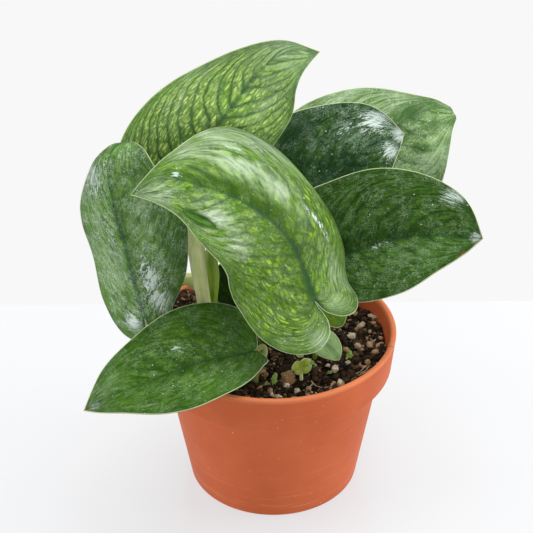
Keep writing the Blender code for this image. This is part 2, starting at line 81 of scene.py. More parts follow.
# Rows and columns of the leaf meshes, and the steps of their curl
LARGE_ROWS = 110
LARGE_COLUMNS = 30
SMALL_ROWS = 44
SMALL_COLUMNS = 12
CURL_STEPS = 12

# Form of the blades: thickness in millimetres, how far rows bow in the lobes and crowd at the notch,
# how slowly they turn with the midrib, the sweep and spacing of side veins in millimetres, and the
# shares of the length at which half widths are listed. Relief is typed for a leaf of the full width.
BLADE = 0.7
FULL_WIDTH = 36
BOW = 1.4
CROWDING = 1.7
CALM = 0.22
VEIN_REACH = 24
VEIN_SPACING = 8.5
PLACES = (0.04, 0.2, 0.4, 0.6, 0.8, 0.92)

# Ends of the front leaf's dent, along and aside, its depth, and how far the last two points of a stalk
# are sunk into the blade, millimetres
CREASE = ((92, -14.6), (69.5, -17))
CREASE_DEPTH = 1.3
STALK_SINK = (1.2, 2.6)


def large_leaf(mid, width, left, right, face, fold, curl, stalk, radii, **extra):
    """A leaf's measures. Its halves give how far the lobe reaches back and the half widths."""
    return {"mid": mid, "width": width, "left": left, "right": right, "face": face, "fold": fold,
            "curl": curl, "stalk": stalk, "stalk_radius": radii, **extra}


LEAVES = {
    "front": large_leaf(
        [(29, -41, 112), (19, -32, 119), (14, -25, 131), (9, -21, 142), (-1, -19, 154), (-14, -19, 164),
         (-30, -22, 173), (-44, -28, 180), (-54, -34, 181), (-61, -38, 178)],
        36, (19, [32, 36, 33, 28, 19, 10]), (15, [23, 36, 41, 36.5, 13.5, 4]),
        [(0.1, -0.7, 0.7), (0.1, -0.65, 0.75), (0.1, -0.65, 0.75), (0, -0.7, 0.7), (-0.2, -0.75, 0.6)],
        ([8, 12, 15, 10, 0], [0, 5, 12, 0, -40]), ([30, 35, 35, 30, 10], [70, 70, 55, 40, 20]),
        [(13, -11, 66), (13, -11, 80), (13.6, -14, 92), (15, -20, 104), (18, -29, 115), (19, -32.5, 118.3),
         (17, -29, 123.5)],
        [1.9, 1.9, 1.8, 1.7, 1.5, 1.2, 0.3], calm=0.3),
    "top": large_leaf(
        [(-64, 11, 125), (-53, 12, 141), (-33, 15, 173), (-17, 16, 195), (-4, 17, 212), (8, 19, 219),
         (22, 23, 217)],
        32, (14, [27, 31, 34, 29, 11, 3]), (14, [27, 30, 29, 26, 18, 8]),
        [(0.2, -0.95, 0.1), (0.2, -0.95, 0.1), (0.2, -0.9, 0.2)],
        ([3, 3, -10], [10, 10, 5]), ([20, 20, 20], [20, 30, 20]),
        [(-33, 3, 66), (-33, 3, 80), (-33.2, 2, 97), (-34.8, 2, 112), (-36.2, 4, 126), (-39.5, 10, 136),
         (-46, 14.5, 142), (-52, 13.5, 145), (-48, 13, 151)],
        [3.1, 3.1, 3.2, 3.4, 3.8, 4.2, 3.2, 1.9, 0.3], skew=(-0.4, 0.4)),
    "left": large_leaf(
        [(-60, -8, 85), (-61, -8, 94), (-65, -9, 115), (-68, -10, 136), (-71.5, -10, 155), (-73, -9, 171),
         (-73, -6.5, 178), (-70, -1.5, 183), (-64, 4, 182)],
        31, (15, [27, 27, 24.2, 19.6, 10.2, 3.2]), (9, [14.5, 24.5, 29.4, 32, 30, 21]),
        [(-0.3, -0.85, 0.4), (-0.3, -0.85, 0.4), (-0.3, -0.85, 0.5), (-0.4, -0.7, 0.6), (-0.6, -0.1, 0.8)],
        ([-14, -18, -10, 0, 0], [-10, -10, -10, -10, 0]), ([20, 20, 20, 20, 10], [20, 20, 20, 20, 20]),
        [(-33, 14, 66), (-33, 14, 80), (-33.2, 14, 90), (-36, 12.5, 99.5), (-42, 8, 106), (-50, 2, 104.5),
         (-57, -4, 98), (-61, -7.2, 94), (-62.5, -8.5, 98)],
        [2.3, 2.3, 2.5, 3, 3.4, 2.9, 2, 1.2, 0.3]),
    "lower_left": large_leaf(
        [(-2, -20, 86), (-9, -25, 87), (-20, -35, 91), (-36, -44, 93), (-54, -52, 90), (-71, -58, 87),
         (-86, -60, 79)],
        28, (2, [13, 21, 24.5, 20, 11, 5]), (4, [23.5, 26.8, 26.8, 22.5, 14, 6]),
        [(-0.1, -0.6, 0.8), (-0.1, -0.6, 0.8)],
        ([30, 28, 15], [20, 20, 10]), ([15, 15, 10], [15, 15, 10]),
        [(-9, -30.5, 66), (-9, -30.5, 72), (-8.9, -30.4, 76), (-7.6, -28.7, 79.5), (-4.3, -23, 84.5),
         (-5, -21.7, 86.5), (-9, -25, 87), (-14, -29.5, 88.7)],
        [2, 2, 2, 2, 1.9, 1.7, 1.2, 0.3], skew=(0.2, 0)),
    "right": large_leaf(
        [(3, 7, 110), (13, 5, 116), (35, 2, 123), (55, -5, 135), (75, -12, 141), (95, -20, 144)],
        36, (12, [28, 34, 35.2, 33, 25, 15.8]), (2, [13, 23.8, 28.3, 27, 17, 8.4]),
        [(0, -0.78, 0.62), (0, -0.75, 0.65), (0.1, -0.7, 0.7)],
        ([20, 20, 10], [30, 25, 10]), ([20, 20, 10], [20, 20, 10]),
        [(9, 2, 66), (9, 2, 80), (8.5, 3.5, 102), (10, 5, 111), (13, 5.4, 115.5), (18, 4, 118)],
        [1.8, 1.8, 1.7, 1.5, 1.2, 0.3], skew=(-0.1, 0.1)),
    "middle": large_leaf(
        [(-12, 17, 113), (-4, 19, 118), (18, 29, 142), (36, 41, 151), (51, 49, 158), (65, 55, 159)],
        33, (12, [30, 35, 36.5, 33.5, 23.6, 14.5]), (8, [22, 29, 33, 28, 18, 9]),
        [(0.1, -0.7, 0.7), (0.2, -0.65, 0.75), (0.3, -0.5, 0.8)],
        ([20, 20, 10], [5, 0, 0]), ([20, 20, 10], [20, 20, 20]),
        [(-27.7, 8, 66), (-27.7, 8, 80), (-29.2, 7.8, 93), (-28.6, 9, 107), (-29, 11.5, 120),
         (-23, 15.5, 126.5), (-10, 18.7, 120.5), (-4, 19.8, 117.5), (0, 21.5, 122)],
        [2, 2, 2.1, 2.9, 3.1, 2.8, 1.9, 1.2, 0.3]),
    "back_right": large_leaf(
        [(-7, 36, 116), (2, 38, 126), (29, 48, 142), (53, 58, 156), (69, 64, 164), (82, 70, 166),
         (90, 74, 163), (88.5, 79, 161.5)],
        36, (12, [30, 34, 34.6, 27, 8.8, 2.6]), (12, [30, 36.5, 42, 45.2, 35, 8.8]),
        [(0.2, -0.7, 0.7), (0.2, -0.7, 0.7), (0.3, -0.65, 0.7), (0.4, -0.6, 0.7), (0.6, -0.4, 0.6)],
        ([10, 10, 0, 0], [10, 0, -10, 0]), ([20, 20, 20, 10], [20, 20, 20, 20]),
        [(-15, 25, 66), (-15, 25, 80), (-13.5, 27, 95), (-9, 33, 112), (-1, 38.5, 123.5), (2, 38.5, 125.6),
         (7, 40.2, 129)],
        [1.9, 1.9, 1.8, 1.7, 1.5, 1.2, 0.3]),
}


def small_leaf(mid, widths, facing, stalk, radii, fold=10, right=None):
    """A small leaf with like halves; widths: how far the lobe reaches back, then along the half."""
    left = (widths[0], widths[1:])
    right = (right[0], right[1:]) if right else left
    folds = [fold, fold]
    curls = [20, 20]
    return large_leaf(mid, max(widths[1:]), left, right, [facing, facing], (folds, folds), (curls, curls),
                      stalk, radii)


SMALL_LEAVES = {
    "inner": small_leaf(
        [(-17, 19, 80), (-18, 19, 85), (-21, 19, 95), (-23, 19, 102), (-24, 19, 109)],
        [4, 7, 9, 10, 8, 5, 3], (-0.2, -0.95, 0.2),
        [(-16, 20.5, 66), (-16, 20.5, 78), (-17.2, 19.8, 84.5), (-19, 19.3, 90)],
        [1.2, 1.1, 0.9, 0.3], fold=20),
    "small_right": small_leaf(
        [(22, -3, 104), (24, -5, 102), (28, -7, 97), (31, -9, 93), (33, -10, 90)],
        [3, 7, 8, 8, 7, 5, 3], (0.5, -0.7, 0.5),
        [(20, 2, 66), (20, 2, 80), (20.5, 0, 93), (21.5, -1.5, 100), (24, -5.3, 101.6), (26.5, -6.8, 99)],
        [1.2, 1.2, 1.1, 1, 0.9, 0.3]),
    "small_low": small_leaf(
        [(19, -17, 91), (21, -18, 90), (25, -21, 87), (29, -24, 84), (31, -25, 81)],
        [3, 6, 7, 7, 6, 4, 2], (0.3, -0.6, 0.7),
        [(20, -12, 66), (20, -12, 80), (19.5, -15, 88), (21, -18.3, 89.6), (23.5, -20.1, 88)],
        [1.2, 1.1, 1, 0.9, 0.3]),
    "tucked": small_leaf(
        [(-7, -14, 91), (-5, -15, 90), (-1, -16, 87), (3, -17, 84), (6, -17, 82)],
        [2, 5, 6, 6, 5, 3, 2], (0.2, 0.8, 0.4),
        [(-5, -12, 66), (-5, -12, 78), (-6.5, -13.5, 87), (-5, -15.2, 89.6), (-2.8, -15.8, 88)],
        [1.2, 1.1, 1, 0.9, 0.3], fold=15),
    "sprout": small_leaf(
        [(13, -33, 81), (13, -33, 82), (13, -34, 85), (14, -35, 88), (14, -36, 90)],
        [3, 4, 5, 4, 3, 2, 1], (0.2, -0.8, 0.5),
        [(13, -31, 66), (13, -31, 77), (13, -32.6, 81.5), (13.1, -33.6, 84)],
        [1, 0.9, 0.8, 0.3], right=[3, 5, 4, 5, 3, 3, 1]),
}


# Colours of each leaf, linear: deep along the veins, body, bright cells, silver and midrib. Then how
# strongly each trait shows: the bright cells, how far they reach in millimetres from the base and how
# evenly they lie, the dark side veins, the silvery strokes and the pale haze of painted sheen. Last, how
# long a cell is.
LEAF_LOOKS = {
    "front": ((0.026, 0.074, 0.005), (0.096, 0.226, 0.008), (0.32, 0.53, 0.03), (0.5, 0.6, 0.44),
              (0.026, 0.068, 0.03), 1, 54, 0.45, 0.5, 0.32, 1, 3.4),
    # The top leaf's colours are raised as painted light shining through its blade.
    "top": ((0.055, 0.145, 0.03), (0.21, 0.44, 0.045), (0.76, 0.98, 0.25), (0.52, 0.64, 0.46),
            (0.045, 0.1, 0.055), 1, 95, 0.9, 1, 0.35, 0.7, 2.2),
    "left": ((0.024, 0.078, 0.008), (0.096, 0.225, 0.024), (0.24, 0.41, 0.1), (0.52, 0.62, 0.5),
             (0.022, 0.062, 0.03), 0.4, 80, 0.3, 0.35, 1, 0.5, 2.6),
    "lower_left": ((0.014, 0.058, 0.002), (0.052, 0.14, 0.006), (0.15, 0.29, 0.03), (0.26, 0.38, 0.2),
                   (0.02, 0.07, 0.012), 0.4, 80, 0.3, 0.4, 0.75, 0.5, 2.6),
    "right": ((0.007, 0.032, 0.002), (0.034, 0.104, 0.005), (0.105, 0.225, 0.025), (0.24, 0.35, 0.19),
              (0.012, 0.045, 0.012), 0.3, 90, 0.3, 0.7, 0.85, 0.3, 2.6),
    "middle": ((0.002, 0.018, 0.001), (0.022, 0.08, 0.006), (0.07, 0.17, 0.018), (0.3, 0.4, 0.31),
               (0.006, 0.034, 0.012), 0.25, 90, 0.3, 0.4, 1, 0.2, 2.6),
    "back_right": ((0.038, 0.1, 0.022), (0.18, 0.33, 0.085), (0.42, 0.6, 0.24), (0.5, 0.62, 0.42),
                   (0.048, 0.11, 0.042), 0.6, 160, 0.6, 0.8, 0.95, 0.7, 2.6),
    "inner": ((0.008, 0.034, 0.004), (0.03, 0.09, 0.01), (0.06, 0.15, 0.02), (0.16, 0.24, 0.13),
              (0.02, 0.06, 0.02), 0.2, 90, 0.3, 0.2, 0.4, 0.1, 2.6),
    "small_right": ((0.05, 0.11, 0.003), (0.11, 0.21, 0.006), (0.22, 0.36, 0.02), (0.3, 0.4, 0.12),
                    (0.06, 0.13, 0.02), 0.4, 90, 0.5, 0.2, 0.2, 0.1, 2.6),
    "small_low": ((0.18, 0.31, 0.1), (0.38, 0.53, 0.22), (0.38, 0.56, 0.22), (0.46, 0.56, 0.38),
                  (0.1, 0.2, 0.06), 0.3, 90, 0.5, 0.2, 0.5, 0.1, 2.6),
    "tucked": ((0.1, 0.17, 0.045), (0.2, 0.29, 0.1), (0.26, 0.36, 0.13), (0.4, 0.48, 0.26),
               (0.1, 0.17, 0.045), 0.1, 90, 0.5, 0.2, 0.2, 0.1, 2.6),
    "sprout": ((0.3, 0.42, 0.05), (0.48, 0.62, 0.12), (0.62, 0.74, 0.22), (0.7, 0.76, 0.4),
               (0.3, 0.42, 0.05), 0.4, 90, 0.5, 0.3, 0.2, 0.1, 2.6),
}
# Patches of white residue on a leaf: along as a share of its length, aside in millimetres, how far
# the patch reaches each way, and strength
RESIDUE = {
    "front": [(0.8, 2, 0.02, 2, 1), (0.37, -2, 0.012, 1.2, 0.8), (0.23, 18, 0.07, 1.6, 0.9),
              (0.6, 24, 0.04, 4, 0.6), (0.52, 30, 0.06, 4, 0.5), (0.62, -12, 0.05, 3, 0.4)],
    "top": [(0.58, -11, 0.03, 3, 0.3), (0.15, 12, 0.05, 3, 0.4), (0.85, -6, 0.08, 3, 0.3)],
    "left": [(0.22, 8, 0.1, 5, 1), (0.1, 9, 0.09, 6, 1), (0.32, 6, 0.05, 3, 0.6),
             (-0.03, -8, 0.06, 6, 1), (0.76, -9, 0.09, 6, 0.8), (0.44, -7, 0.12, 4, 0.4)],
    "lower_left": [(0.93, -1, 0.05, 3, 0.6), (0.45, 9, 0.06, 3, 0.4)],
    "right": [(0.84, -18, 0.06, 4, 0.9), (0.97, 0, 0.04, 3, 0.9), (0.44, 1, 0.06, 2, 0.7),
              (0.15, -8, 0.05, 4, 0.3)],
    "middle": [(0.97, 0, 0.05, 5, 1), (0.87, -10, 0.09, 6, 0.9), (0.88, 7, 0.06, 5, 0.9),
               (0.72, -14, 0.1, 5, 0.4)],
    "back_right": [(0.8, -12, 0.05, 5, 0.4), (0.62, 27, 0.04, 3, 0.4)],
}
# Dead brown bits at the rim of a leaf, in the same form
BROWN = {
    "top": [(1, 0, 0.012, 2, 1)],
    "right": [(0.92, 10, 0.015, 2.2, 0.9), (0.985, 2.5, 0.02, 2, 0.6)],
    "lower_left": [(1, 0, 0.02, 2, 0.8)],
}
# Broad patches of painted sheen, where the leaf would catch the light, in the same form
PAINTED_SHEEN = {
    "front": [(0.58, 17, 0.13, 8, 1), (0.42, 14, 0.1, 6, 0.8), (0.62, -13, 0.1, 6, 1),
              (0.47, -20, 0.1, 5, 0.9), (0.54, 34, 0.16, 6, 0.9), (0.9, -6, 0.08, 6, 0.8),
              (0.76, 16, 0.08, 6, 0.7), (-0.15, -10, 0.05, 5, 0.8), (0.05, 16, 0.08, 6, 0.6),
              (-0.04, 8, 0.06, 7, 0.4), (0.66, 26, 0.1, 4, 0.8)],
    "top": [(0.86, 0, 0.12, 12, 0.9), (0.62, -22, 0.25, 5, 0.6), (0.66, 12, 0.12, 6, 0.6)],
    "left": [(0.3, -12, 0.16, 9, 0.8), (0.55, 12, 0.2, 10, 0.4), (0.62, -12, 0.12, 6, 0.6)],
    "lower_left": [(0.88, 4, 0.14, 6, 1), (0.25, -8, 0.12, 8, 0.4)],
    "right": [(0.58, 10, 0.22, 6, 0.6), (0.22, -18, 0.14, 8, 0.5)],
    "middle": [(0.75, -10, 0.15, 8, 0.5)],
    "back_right": [(0.75, -12, 0.15, 8, 0.7), (0.75, 24, 0.15, 6, 0.8), (0.54, -27, 0.14, 9, 0.9),
                   (0.86, 14, 0.06, 4, 0.5)],
}
# Places where a leaf dips out of the light or lies close under another, in the same form
SHADE = {
    "front": [(0.08, -1.5, 0.12, 3, 0.8), (0.24, -1, 0.12, 4.5, 0.8), (0.42, 3.5, 0.13, 4.5, 1),
              (0.6, 4, 0.13, 4, 1), (0.76, 2, 0.12, 2.5, 0.9), (0.3, -30, 0.15, 3, 0.4)],
    "top": [(0.1, -4, 0.12, 8, 0.7), (0.3, 22, 0.15, 8, 0.3)],
    "left": [(0.3, 24, 0.16, 6, 0.7), (0.72, 20, 0.14, 9, 0.4), (0.5, 2, 0.3, 2.5, 0.6)],
    "lower_left": [(0.12, 8, 0.1, 10, 0.5), (0.5, -2.5, 0.4, 2.5, 0.5)],
    "right": [(0.1, -14, 0.16, 14, 1), (0.27, -5, 0.12, 5, 0.8), (0.58, -3, 0.3, 2.5, 0.7),
              (0.1, 10, 0.1, 7, 0.4)],
    "middle": [(0.5, -27, 0.16, 9, 1), (0.52, -4, 0.12, 7, 1), (0.6, 4, 0.2, 6, 1),
               (0.38, -16, 0.17, 16, 1), (0.45, 14, 0.3, 12, 1), (0.8, 0.5, 0.1, 1.5, 0.7)],
    "back_right": [(0.74, -3, 0.15, 4.5, 1), (0.64, 7, 0.12, 2.2, 0.9), (0.84, 8, 0.12, 2, 0.8),
                   (0.7, 17, 0.14, 2, 0.7)],
}
PATCHES = {"residue": RESIDUE, "brown": BROWN, "sheen_patches": PAINTED_SHEEN, "shade": SHADE}
# Margin of every blade
CREAM = (0.5, 0.59, 0.31)

# Two colours of each kind of stalk, and the leaves that have it; the others are pale
STALK_COLOURS = {
    "pale": ((0.78, 0.82, 0.42), (0.54, 0.64, 0.24)),
    "green": ((0.3, 0.44, 0.06), (0.15, 0.25, 0.012)),
    "olive": ((0.15, 0.19, 0.04), (0.23, 0.27, 0.07)),
}
STALK_OF = {"middle": "green", "lower_left": "olive", "tucked": "olive", "small_low": "green"}

# Bits on the soil. Pale ones: x, y, three half sizes, whiteness from 0 to 1
CHIPS = [
    (38.7, 3.6, 2.2, 1.8, 1.8, 0.75), (29.2, -23.8, 1.9, 1.7, 1.7, 0.95), (6, -36, 1.7, 1.3, 1.2, 0.9),
    (10.7, -40, 1.6, 1.4, 1, 0.7), (2.4, -46.2, 2, 1.5, 1.2, 0.8), (9.3, -47, 1.7, 1.2, 1, 0.6),
    (31.1, -34.1, 2.1, 1.3, 1.2, 0.9), (49.6, 21.1, 2.4, 1.5, 1.5, 0.6), (43.6, 13.1, 2.6, 1.8, 1.5, 0.55),
    (41.1, -4.9, 1.8, 1.5, 1.3, 0.5), (26, -21, 1.2, 1, 0.9, 0.8), (47.5, 6, 1.1, 0.8, 0.7, 0.6),
    (35.6, -18.2, 1.2, 0.9, 0.8, 0.8), (-3.5, -27.6, 1.3, 1.1, 1, 0.3), (-1, -43, 1, 0.9, 0.8, 0.8),
    (-20, 42, 1.8, 1.4, 1.2, 0.8), (12, 40, 1.7, 1.4, 1.2, 0.7), (34, 32, 1.8, 1.5, 1.3, 0.6),
    (-44, 18, 1.8, 1.5, 1.2, 0.8), (-36, -20, 1.8, 1.4, 1.2, 0.7), (-47, -8, 1.5, 1.2, 1, 0.6),
    (2, 30, 1.6, 1.3, 1.1, 0.7), (22, 12, 1.5, 1.2, 1, 0.6),
]
# Scraps of leaf: x, y, length, half width, turn, rise
SCRAPS = [
    (0, -36, 4.6, 1.4, 1.4, 0.9), (20.7, -21.2, 5.5, 2, 2.5, 0.7), (24.5, -23.6, 4, 1.5, -0.3, 0.5),
    (34.8, -14.9, 4.4, 1.9, 1, 0.7), (6.9, -40, 3, 1, 0.2, 0.3), (-4.5, -35.2, 2.4, 0.8, 0.9, 0.6),
]
# Bare roots: points on the soil
ROOTS = [
    [(17.6, -32.4), (19.4, -36), (20.6, -38.7), (23.7, -43.4)],
    [(18.4, -34.4), (16.8, -38), (17.6, -42)],
    [(19.9, -37.4), (23.4, -37.8), (26, -36.2)],
    [(40.9, -25.5), (42.8, -24.6), (44.8, -23.2), (45.6, -20.6)],
    [(38.6, -26.8), (41.6, -23.6), (43.9, -21.4), (46.8, -19.6)],
    [(39.8, -28), (43, -26.2), (46.4, -24.4)],
    [(-8.6, -44), (-5.2, -46.4), (-2.4, -50)],
    [(22, -46), (26, -42.6), (30.6, -42)],
]


def unit(vectors):
    """Vectors of length one."""
    vectors = np.asarray(vectors, float)
    return vectors / np.linalg.norm(vectors, axis=-1, keepdims=True)


def curve_through(points, steps=24):
    """A smooth curve through every point, as closely spaced samples."""
    p = np.array(points, float)
    p = np.vstack([2 * p[0] - p[1], p, 2 * p[-1] - p[-2]])
    parts = []
    for i in range(len(p) - 3):
        near = p[i:i + 4]
        knots = np.cumsum([0] + [np.linalg.norm(b - a) ** 0.5 for a, b in zip(near, near[1:])])
        t = np.linspace(knots[1], knots[2], steps, endpoint=False)[:, None]
        for starts, ends in ((knots, knots[1:]), (knots, knots[2:]), (knots[1:], knots[2:])):
            near = [(b - t) / (b - a) * before + (t - a) / (b - a) * after
                    for a, b, before, after in zip(starts, ends, near, near[1:])]
        parts += near
    return np.vstack([*parts, p[-2]])


def distances(curve):
    """Length along the curve at each of its points."""
    return np.r_[0, np.cumsum(np.linalg.norm(np.diff(curve, axis=0), axis=1))]


def sample(where, knots, values):
    """Values of each column at the places asked for."""
    return np.stack([np.interp(where, knots, values[:, k]) for k in range(values.shape[1])], -1)


def evenly(curve, count):
    """The same curve with evenly spaced points."""
    dist = distances(curve)
    return sample(np.linspace(0, dist[-1], count), dist, curve)


def blend(values, t):
    """Numbers or vectors listed from base to tip, blended smoothly at each t from 0 to 1."""
    v = np.array(values, float)
    last = len(v) - 1
    v = np.array([2 * v[0] - v[1], *v, 2 * v[-1] - v[-2]])
    x = np.clip(t, 0, 1) * last
    i = np.minimum(x.astype(int), last - 1)
    f = (x - i).reshape(x.shape + (1,) * (v.ndim - 1))
    a, b, c, d = (v[i + k] for k in range(4))
    return b + 0.5 * f * (c - a + f * (2 * a - 5 * b + 4 * c - d + f * (3 * (b - c) + d - a)))


def calm_directions(line, dist, calm):
    """Directions along the midrib that turn more slowly than the midrib does."""
    step = np.linspace(0, dist[-1], 121)
    heading = unit(np.gradient(sample(step, dist, line), axis=0))
    half = int(round(calm * 120))
    window = np.hanning(2 * half + 3)[1:-1]
    window /= window.sum()
    padded = np.vstack([np.repeat(heading[:1], half, 0), heading, np.repeat(heading[-1:], half, 0)])
    slow = np.stack([np.convolve(padded[:, k], window, "valid") for k in range(3)], 1)
    return sample(dist, step, unit(slow))


def half_outline(side, length, count):
    """The margin of one half, from the notch round the lobe to the tip: along, aside."""
    back, widths = side
    first = widths[0]
    points = [(0, 0), (-0.55 * back, 0.05 * first), (-0.92 * back, 0.22 * first),
              (-back, 0.48 * first), (-0.62 * back, 0.8 * first)]
    points += [(place * length, width) for place, width in zip(PLACES, widths)]
    points += [(length, 0)]
    return evenly(curve_through(points), count)


def leaf_surface(leaf, rows, columns):
    """Middle surface of a blade, with along and aside in millimetres and the share of the way out."""
    line = curve_through(leaf["mid"])
    dist = distances(line)
    base = dist[24]
    length = dist[-1] - base
    slow = calm_directions(line, dist, leaf.get("calm", CALM))
    middle = length * np.linspace(0, 1, rows + 1) ** CROWDING
    along = np.zeros((rows + 1, 2 * columns + 1))
    aside = np.zeros_like(along)
    for sign, key in ((-1, "left"), (1, "right")):
        margin = half_outline(leaf[key], length, rows + 1)
        back = margin[:, 0] - middle
        chord = np.hypot(back, margin[:, 1]) + 1e-9
        bow = BOW * np.maximum(0, -back / chord) ** 1.5
        for j in range(columns + 1):
            share = j / columns
            swell = bow * share * (1 - share)
            along[:, columns + sign * j] = middle + back * share + swell * margin[:, 1]
            aside[:, columns + sign * j] = sign * (margin[:, 1] * share - swell * back)
    skew = leaf.get("skew", (0, 0))
    fullness = np.sqrt(np.minimum(1, np.abs(aside).max(1) / leaf["width"]))[:, None]
    along = along + np.where(aside < 0, skew[0], skew[1]) * np.abs(aside) * fullness
    place = along + base
    heading = unit(sample(place, dist, slow))
    centre = sample(place, dist, line) + heading * np.minimum(place, 0)[..., None]
    t = (along / length).clip(0, 1)
    normal = blend(leaf["face"], t)
    normal = unit(normal - heading * (normal * heading).sum(-1, keepdims=True))
    across = np.cross(heading, normal)
    out = np.zeros_like(along)
    rise = np.zeros_like(along)
    reach = np.abs(aside)
    for sign, side in ((-1, 0), (1, 1)):
        fold = np.radians(blend(leaf["fold"][side], t))
        curl = np.radians(blend(leaf["curl"][side], t))
        half = np.sign(aside) == sign
        step = reach / CURL_STEPS
        for k in range(CURL_STEPS):
            angle = fold - curl * (k + 0.5) * step / leaf["width"]
            out += np.where(half, sign * np.cos(angle) * step, 0)
            rise += np.where(half, np.sin(angle) * step, 0)
    surface = centre + across * out[..., None] + normal * rise[..., None]
    return surface, along, aside, length


def grid_normals(grid):
    """Normals of a grid of points, from its neighbours."""
    down = np.gradient(grid, axis=0)
    over = np.gradient(grid, axis=1)
    normals = np.cross(over, down)
    size = np.linalg.norm(normals, axis=-1, keepdims=True)
    normals = normals / np.maximum(size, 1e-9)
    normals[0] = normals[1].mean(0)
    normals[-1] = normals[-2].mean(0)
    return unit(normals)


def blade_sheet(rows, columns):
    """Faces of the sheet and its margin loops; the notch and the tip are single points."""
    wide = 2 * columns + 1
    tip = 1 + (rows - 1) * wide

    def index(i, j):
        if i == 0:
            return 0
        if i == rows:
            return tip
        return 1 + (i - 1) * wide + j

    faces = []
    for i in range(rows):
        for j in range(wide - 1):
            corners = [index(i, j), index(i, j + 1), index(i + 1, j + 1), index(i + 1, j)]
            faces.append(tuple(dict.fromkeys(corners)))
    loops = [[index(i, j) for i in range(rows + 1)] for j in (0, wide - 1)]
    return faces, loops, tip + 1


def flatten(grid, rows):
    """Grid values in the order of the sheet's points."""
    tail = grid.shape[2:]
    return np.concatenate([grid[0, :1], grid[1:rows].reshape((-1,) + tail), grid[rows, :1]])


def mesh_object(name, points, faces, attributes, material):
    """An object from points in millimetres, with named values on its points."""
    mesh = bpy.data.meshes.new(name)
    mesh.from_pydata((np.asarray(points, float) * MM).tolist(), [], faces)
    for key, values in attributes.items():
        mesh.attributes.new(key, "FLOAT", "POINT").data.foreach_set("value", np.asarray(values, np.float32))
    mesh.shade_smooth()
    mesh.materials.append(material)
    thing = bpy.data.objects.new(name, mesh)
    bpy.context.scene.collection.objects.link(thing)
    return thing


class Nodes:
    """Short calls for building nodes; a material's colour is painted on in layers."""

    def __init__(self, name, kind="materials"):
        self.owner = getattr(bpy.data, kind).new(name)
        self.owner.use_nodes = True
        self.tree = self.owner.node_tree
        self.shader = self.tree.nodes.get("Principled BSDF")

    def put(self, socket, value):
        """Links a socket, or sets a constant on it."""
        if isinstance(value, bpy.types.NodeSocket):
            self.tree.links.new(value, socket)
        elif isinstance(value, tuple) and socket.type == "RGBA":
            socket.default_value = (*value, 1)
        else:
            socket.default_value = value

    def node(self, kind, inputs, output=0, **settings):
        """Adds a node with its settings and inputs, and gives one of its outputs."""
        node = self.tree.nodes.new("ShaderNode" + kind)
        for key, value in settings.items():
            setattr(node, key, value)
        for key, value in inputs.items():
            self.put(node.inputs[key], value)
        return node.outputs[output]

    def math(self, operation, a, b=0):
        return self.node("Math", {0: a, 1: b}, operation=operation)

    plus = partialmethod(math, "ADD")
    minus = partialmethod(math, "SUBTRACT")
    over = partialmethod(math, "DIVIDE")
    larger = partialmethod(math, "MAXIMUM")
    size = partialmethod(math, "ABSOLUTE")

    def times(self, *values):
        """The product of several values."""
        result = values[0]
        for value in values[1:]:
            result = self.math("MULTIPLY", result, value)
        return result

    def sum(self, start, *terms):
        """The start value with each value times its factor added."""
        for value, factor in terms:
            start = self.plus(self.times(value, factor), start)
        return start

    def value(self, name):
        """A value stored on the mesh."""
        return self.node("Attribute", {}, "Fac", attribute_name=name)

    def vector(self, x, y, z=0):
        return self.node("CombineXYZ", {0: x, 1: y, 2: z})

    def position(self):
        """Place in the object, in millimetres."""
        place = self.node("TexCoord", {}, "Object")
        return self.node("VectorMath", {0: place, "Scale": 1 / MM}, operation="SCALE")

    def shift(self, vector, amount):
        """The vector with the same amount added to each part."""
        return self.node("VectorMath", {0: vector, 1: amount}, operation="ADD")

    def split(self, vector):
        return self.node("SeparateXYZ", {0: vector}, slice(None))

    def noise(self, vector, scale, detail=3, roughness=0.55, distortion=0):
        inputs = {"Vector": vector, "Scale": scale, "Detail": detail, "Roughness": roughness}
        return self.node("TexNoise", {**inputs, "Distortion": distortion}, "Fac")

    def cells(self, vector, scale, feature, randomness=1):
        inputs = {"Vector": vector, "Scale": scale, "Randomness": randomness}
        return self.node("TexVoronoi", inputs, "Distance", feature=feature)

    def step(self, value, low, high):
        """0 below low, 1 above high and smooth between; high may be the smaller."""
        ends = (low, high, 0, 1) if low < high else (high, low, 1, 0)
        inputs = dict(zip(("From Min", "From Max", "To Min", "To Max"), ends))
        return self.node("MapRange", {"Value": value, **inputs}, "Result", interpolation_type="SMOOTHSTEP")

    def mix(self, share, a, b):
        return self.node("Mix", {0: share, 6: a, 7: b}, 2, data_type="RGBA")

    def paint(self, colour, *shares):
        """Lays a colour over what is there, as far as the product of the shares."""
        self.colour = self.mix(self.times(*shares), self.colour, colour) if shares else colour

    def finish(self, roughness, height=None, depth=0.2, specular=0.5):
        """The painted colour, roughness and bump; depth is the bump's height in millimetres."""
        self.put(self.shader.inputs["Base Color"], self.colour)
        self.put(self.shader.inputs["Roughness"], roughness)
        self.shader.inputs["Specular IOR Level"].default_value = specular
        if height is not None:
            bump = self.node("Bump", {"Height": height, "Distance": depth * MM})
            self.put(self.shader.inputs["Normal"], bump)
        return self.owner


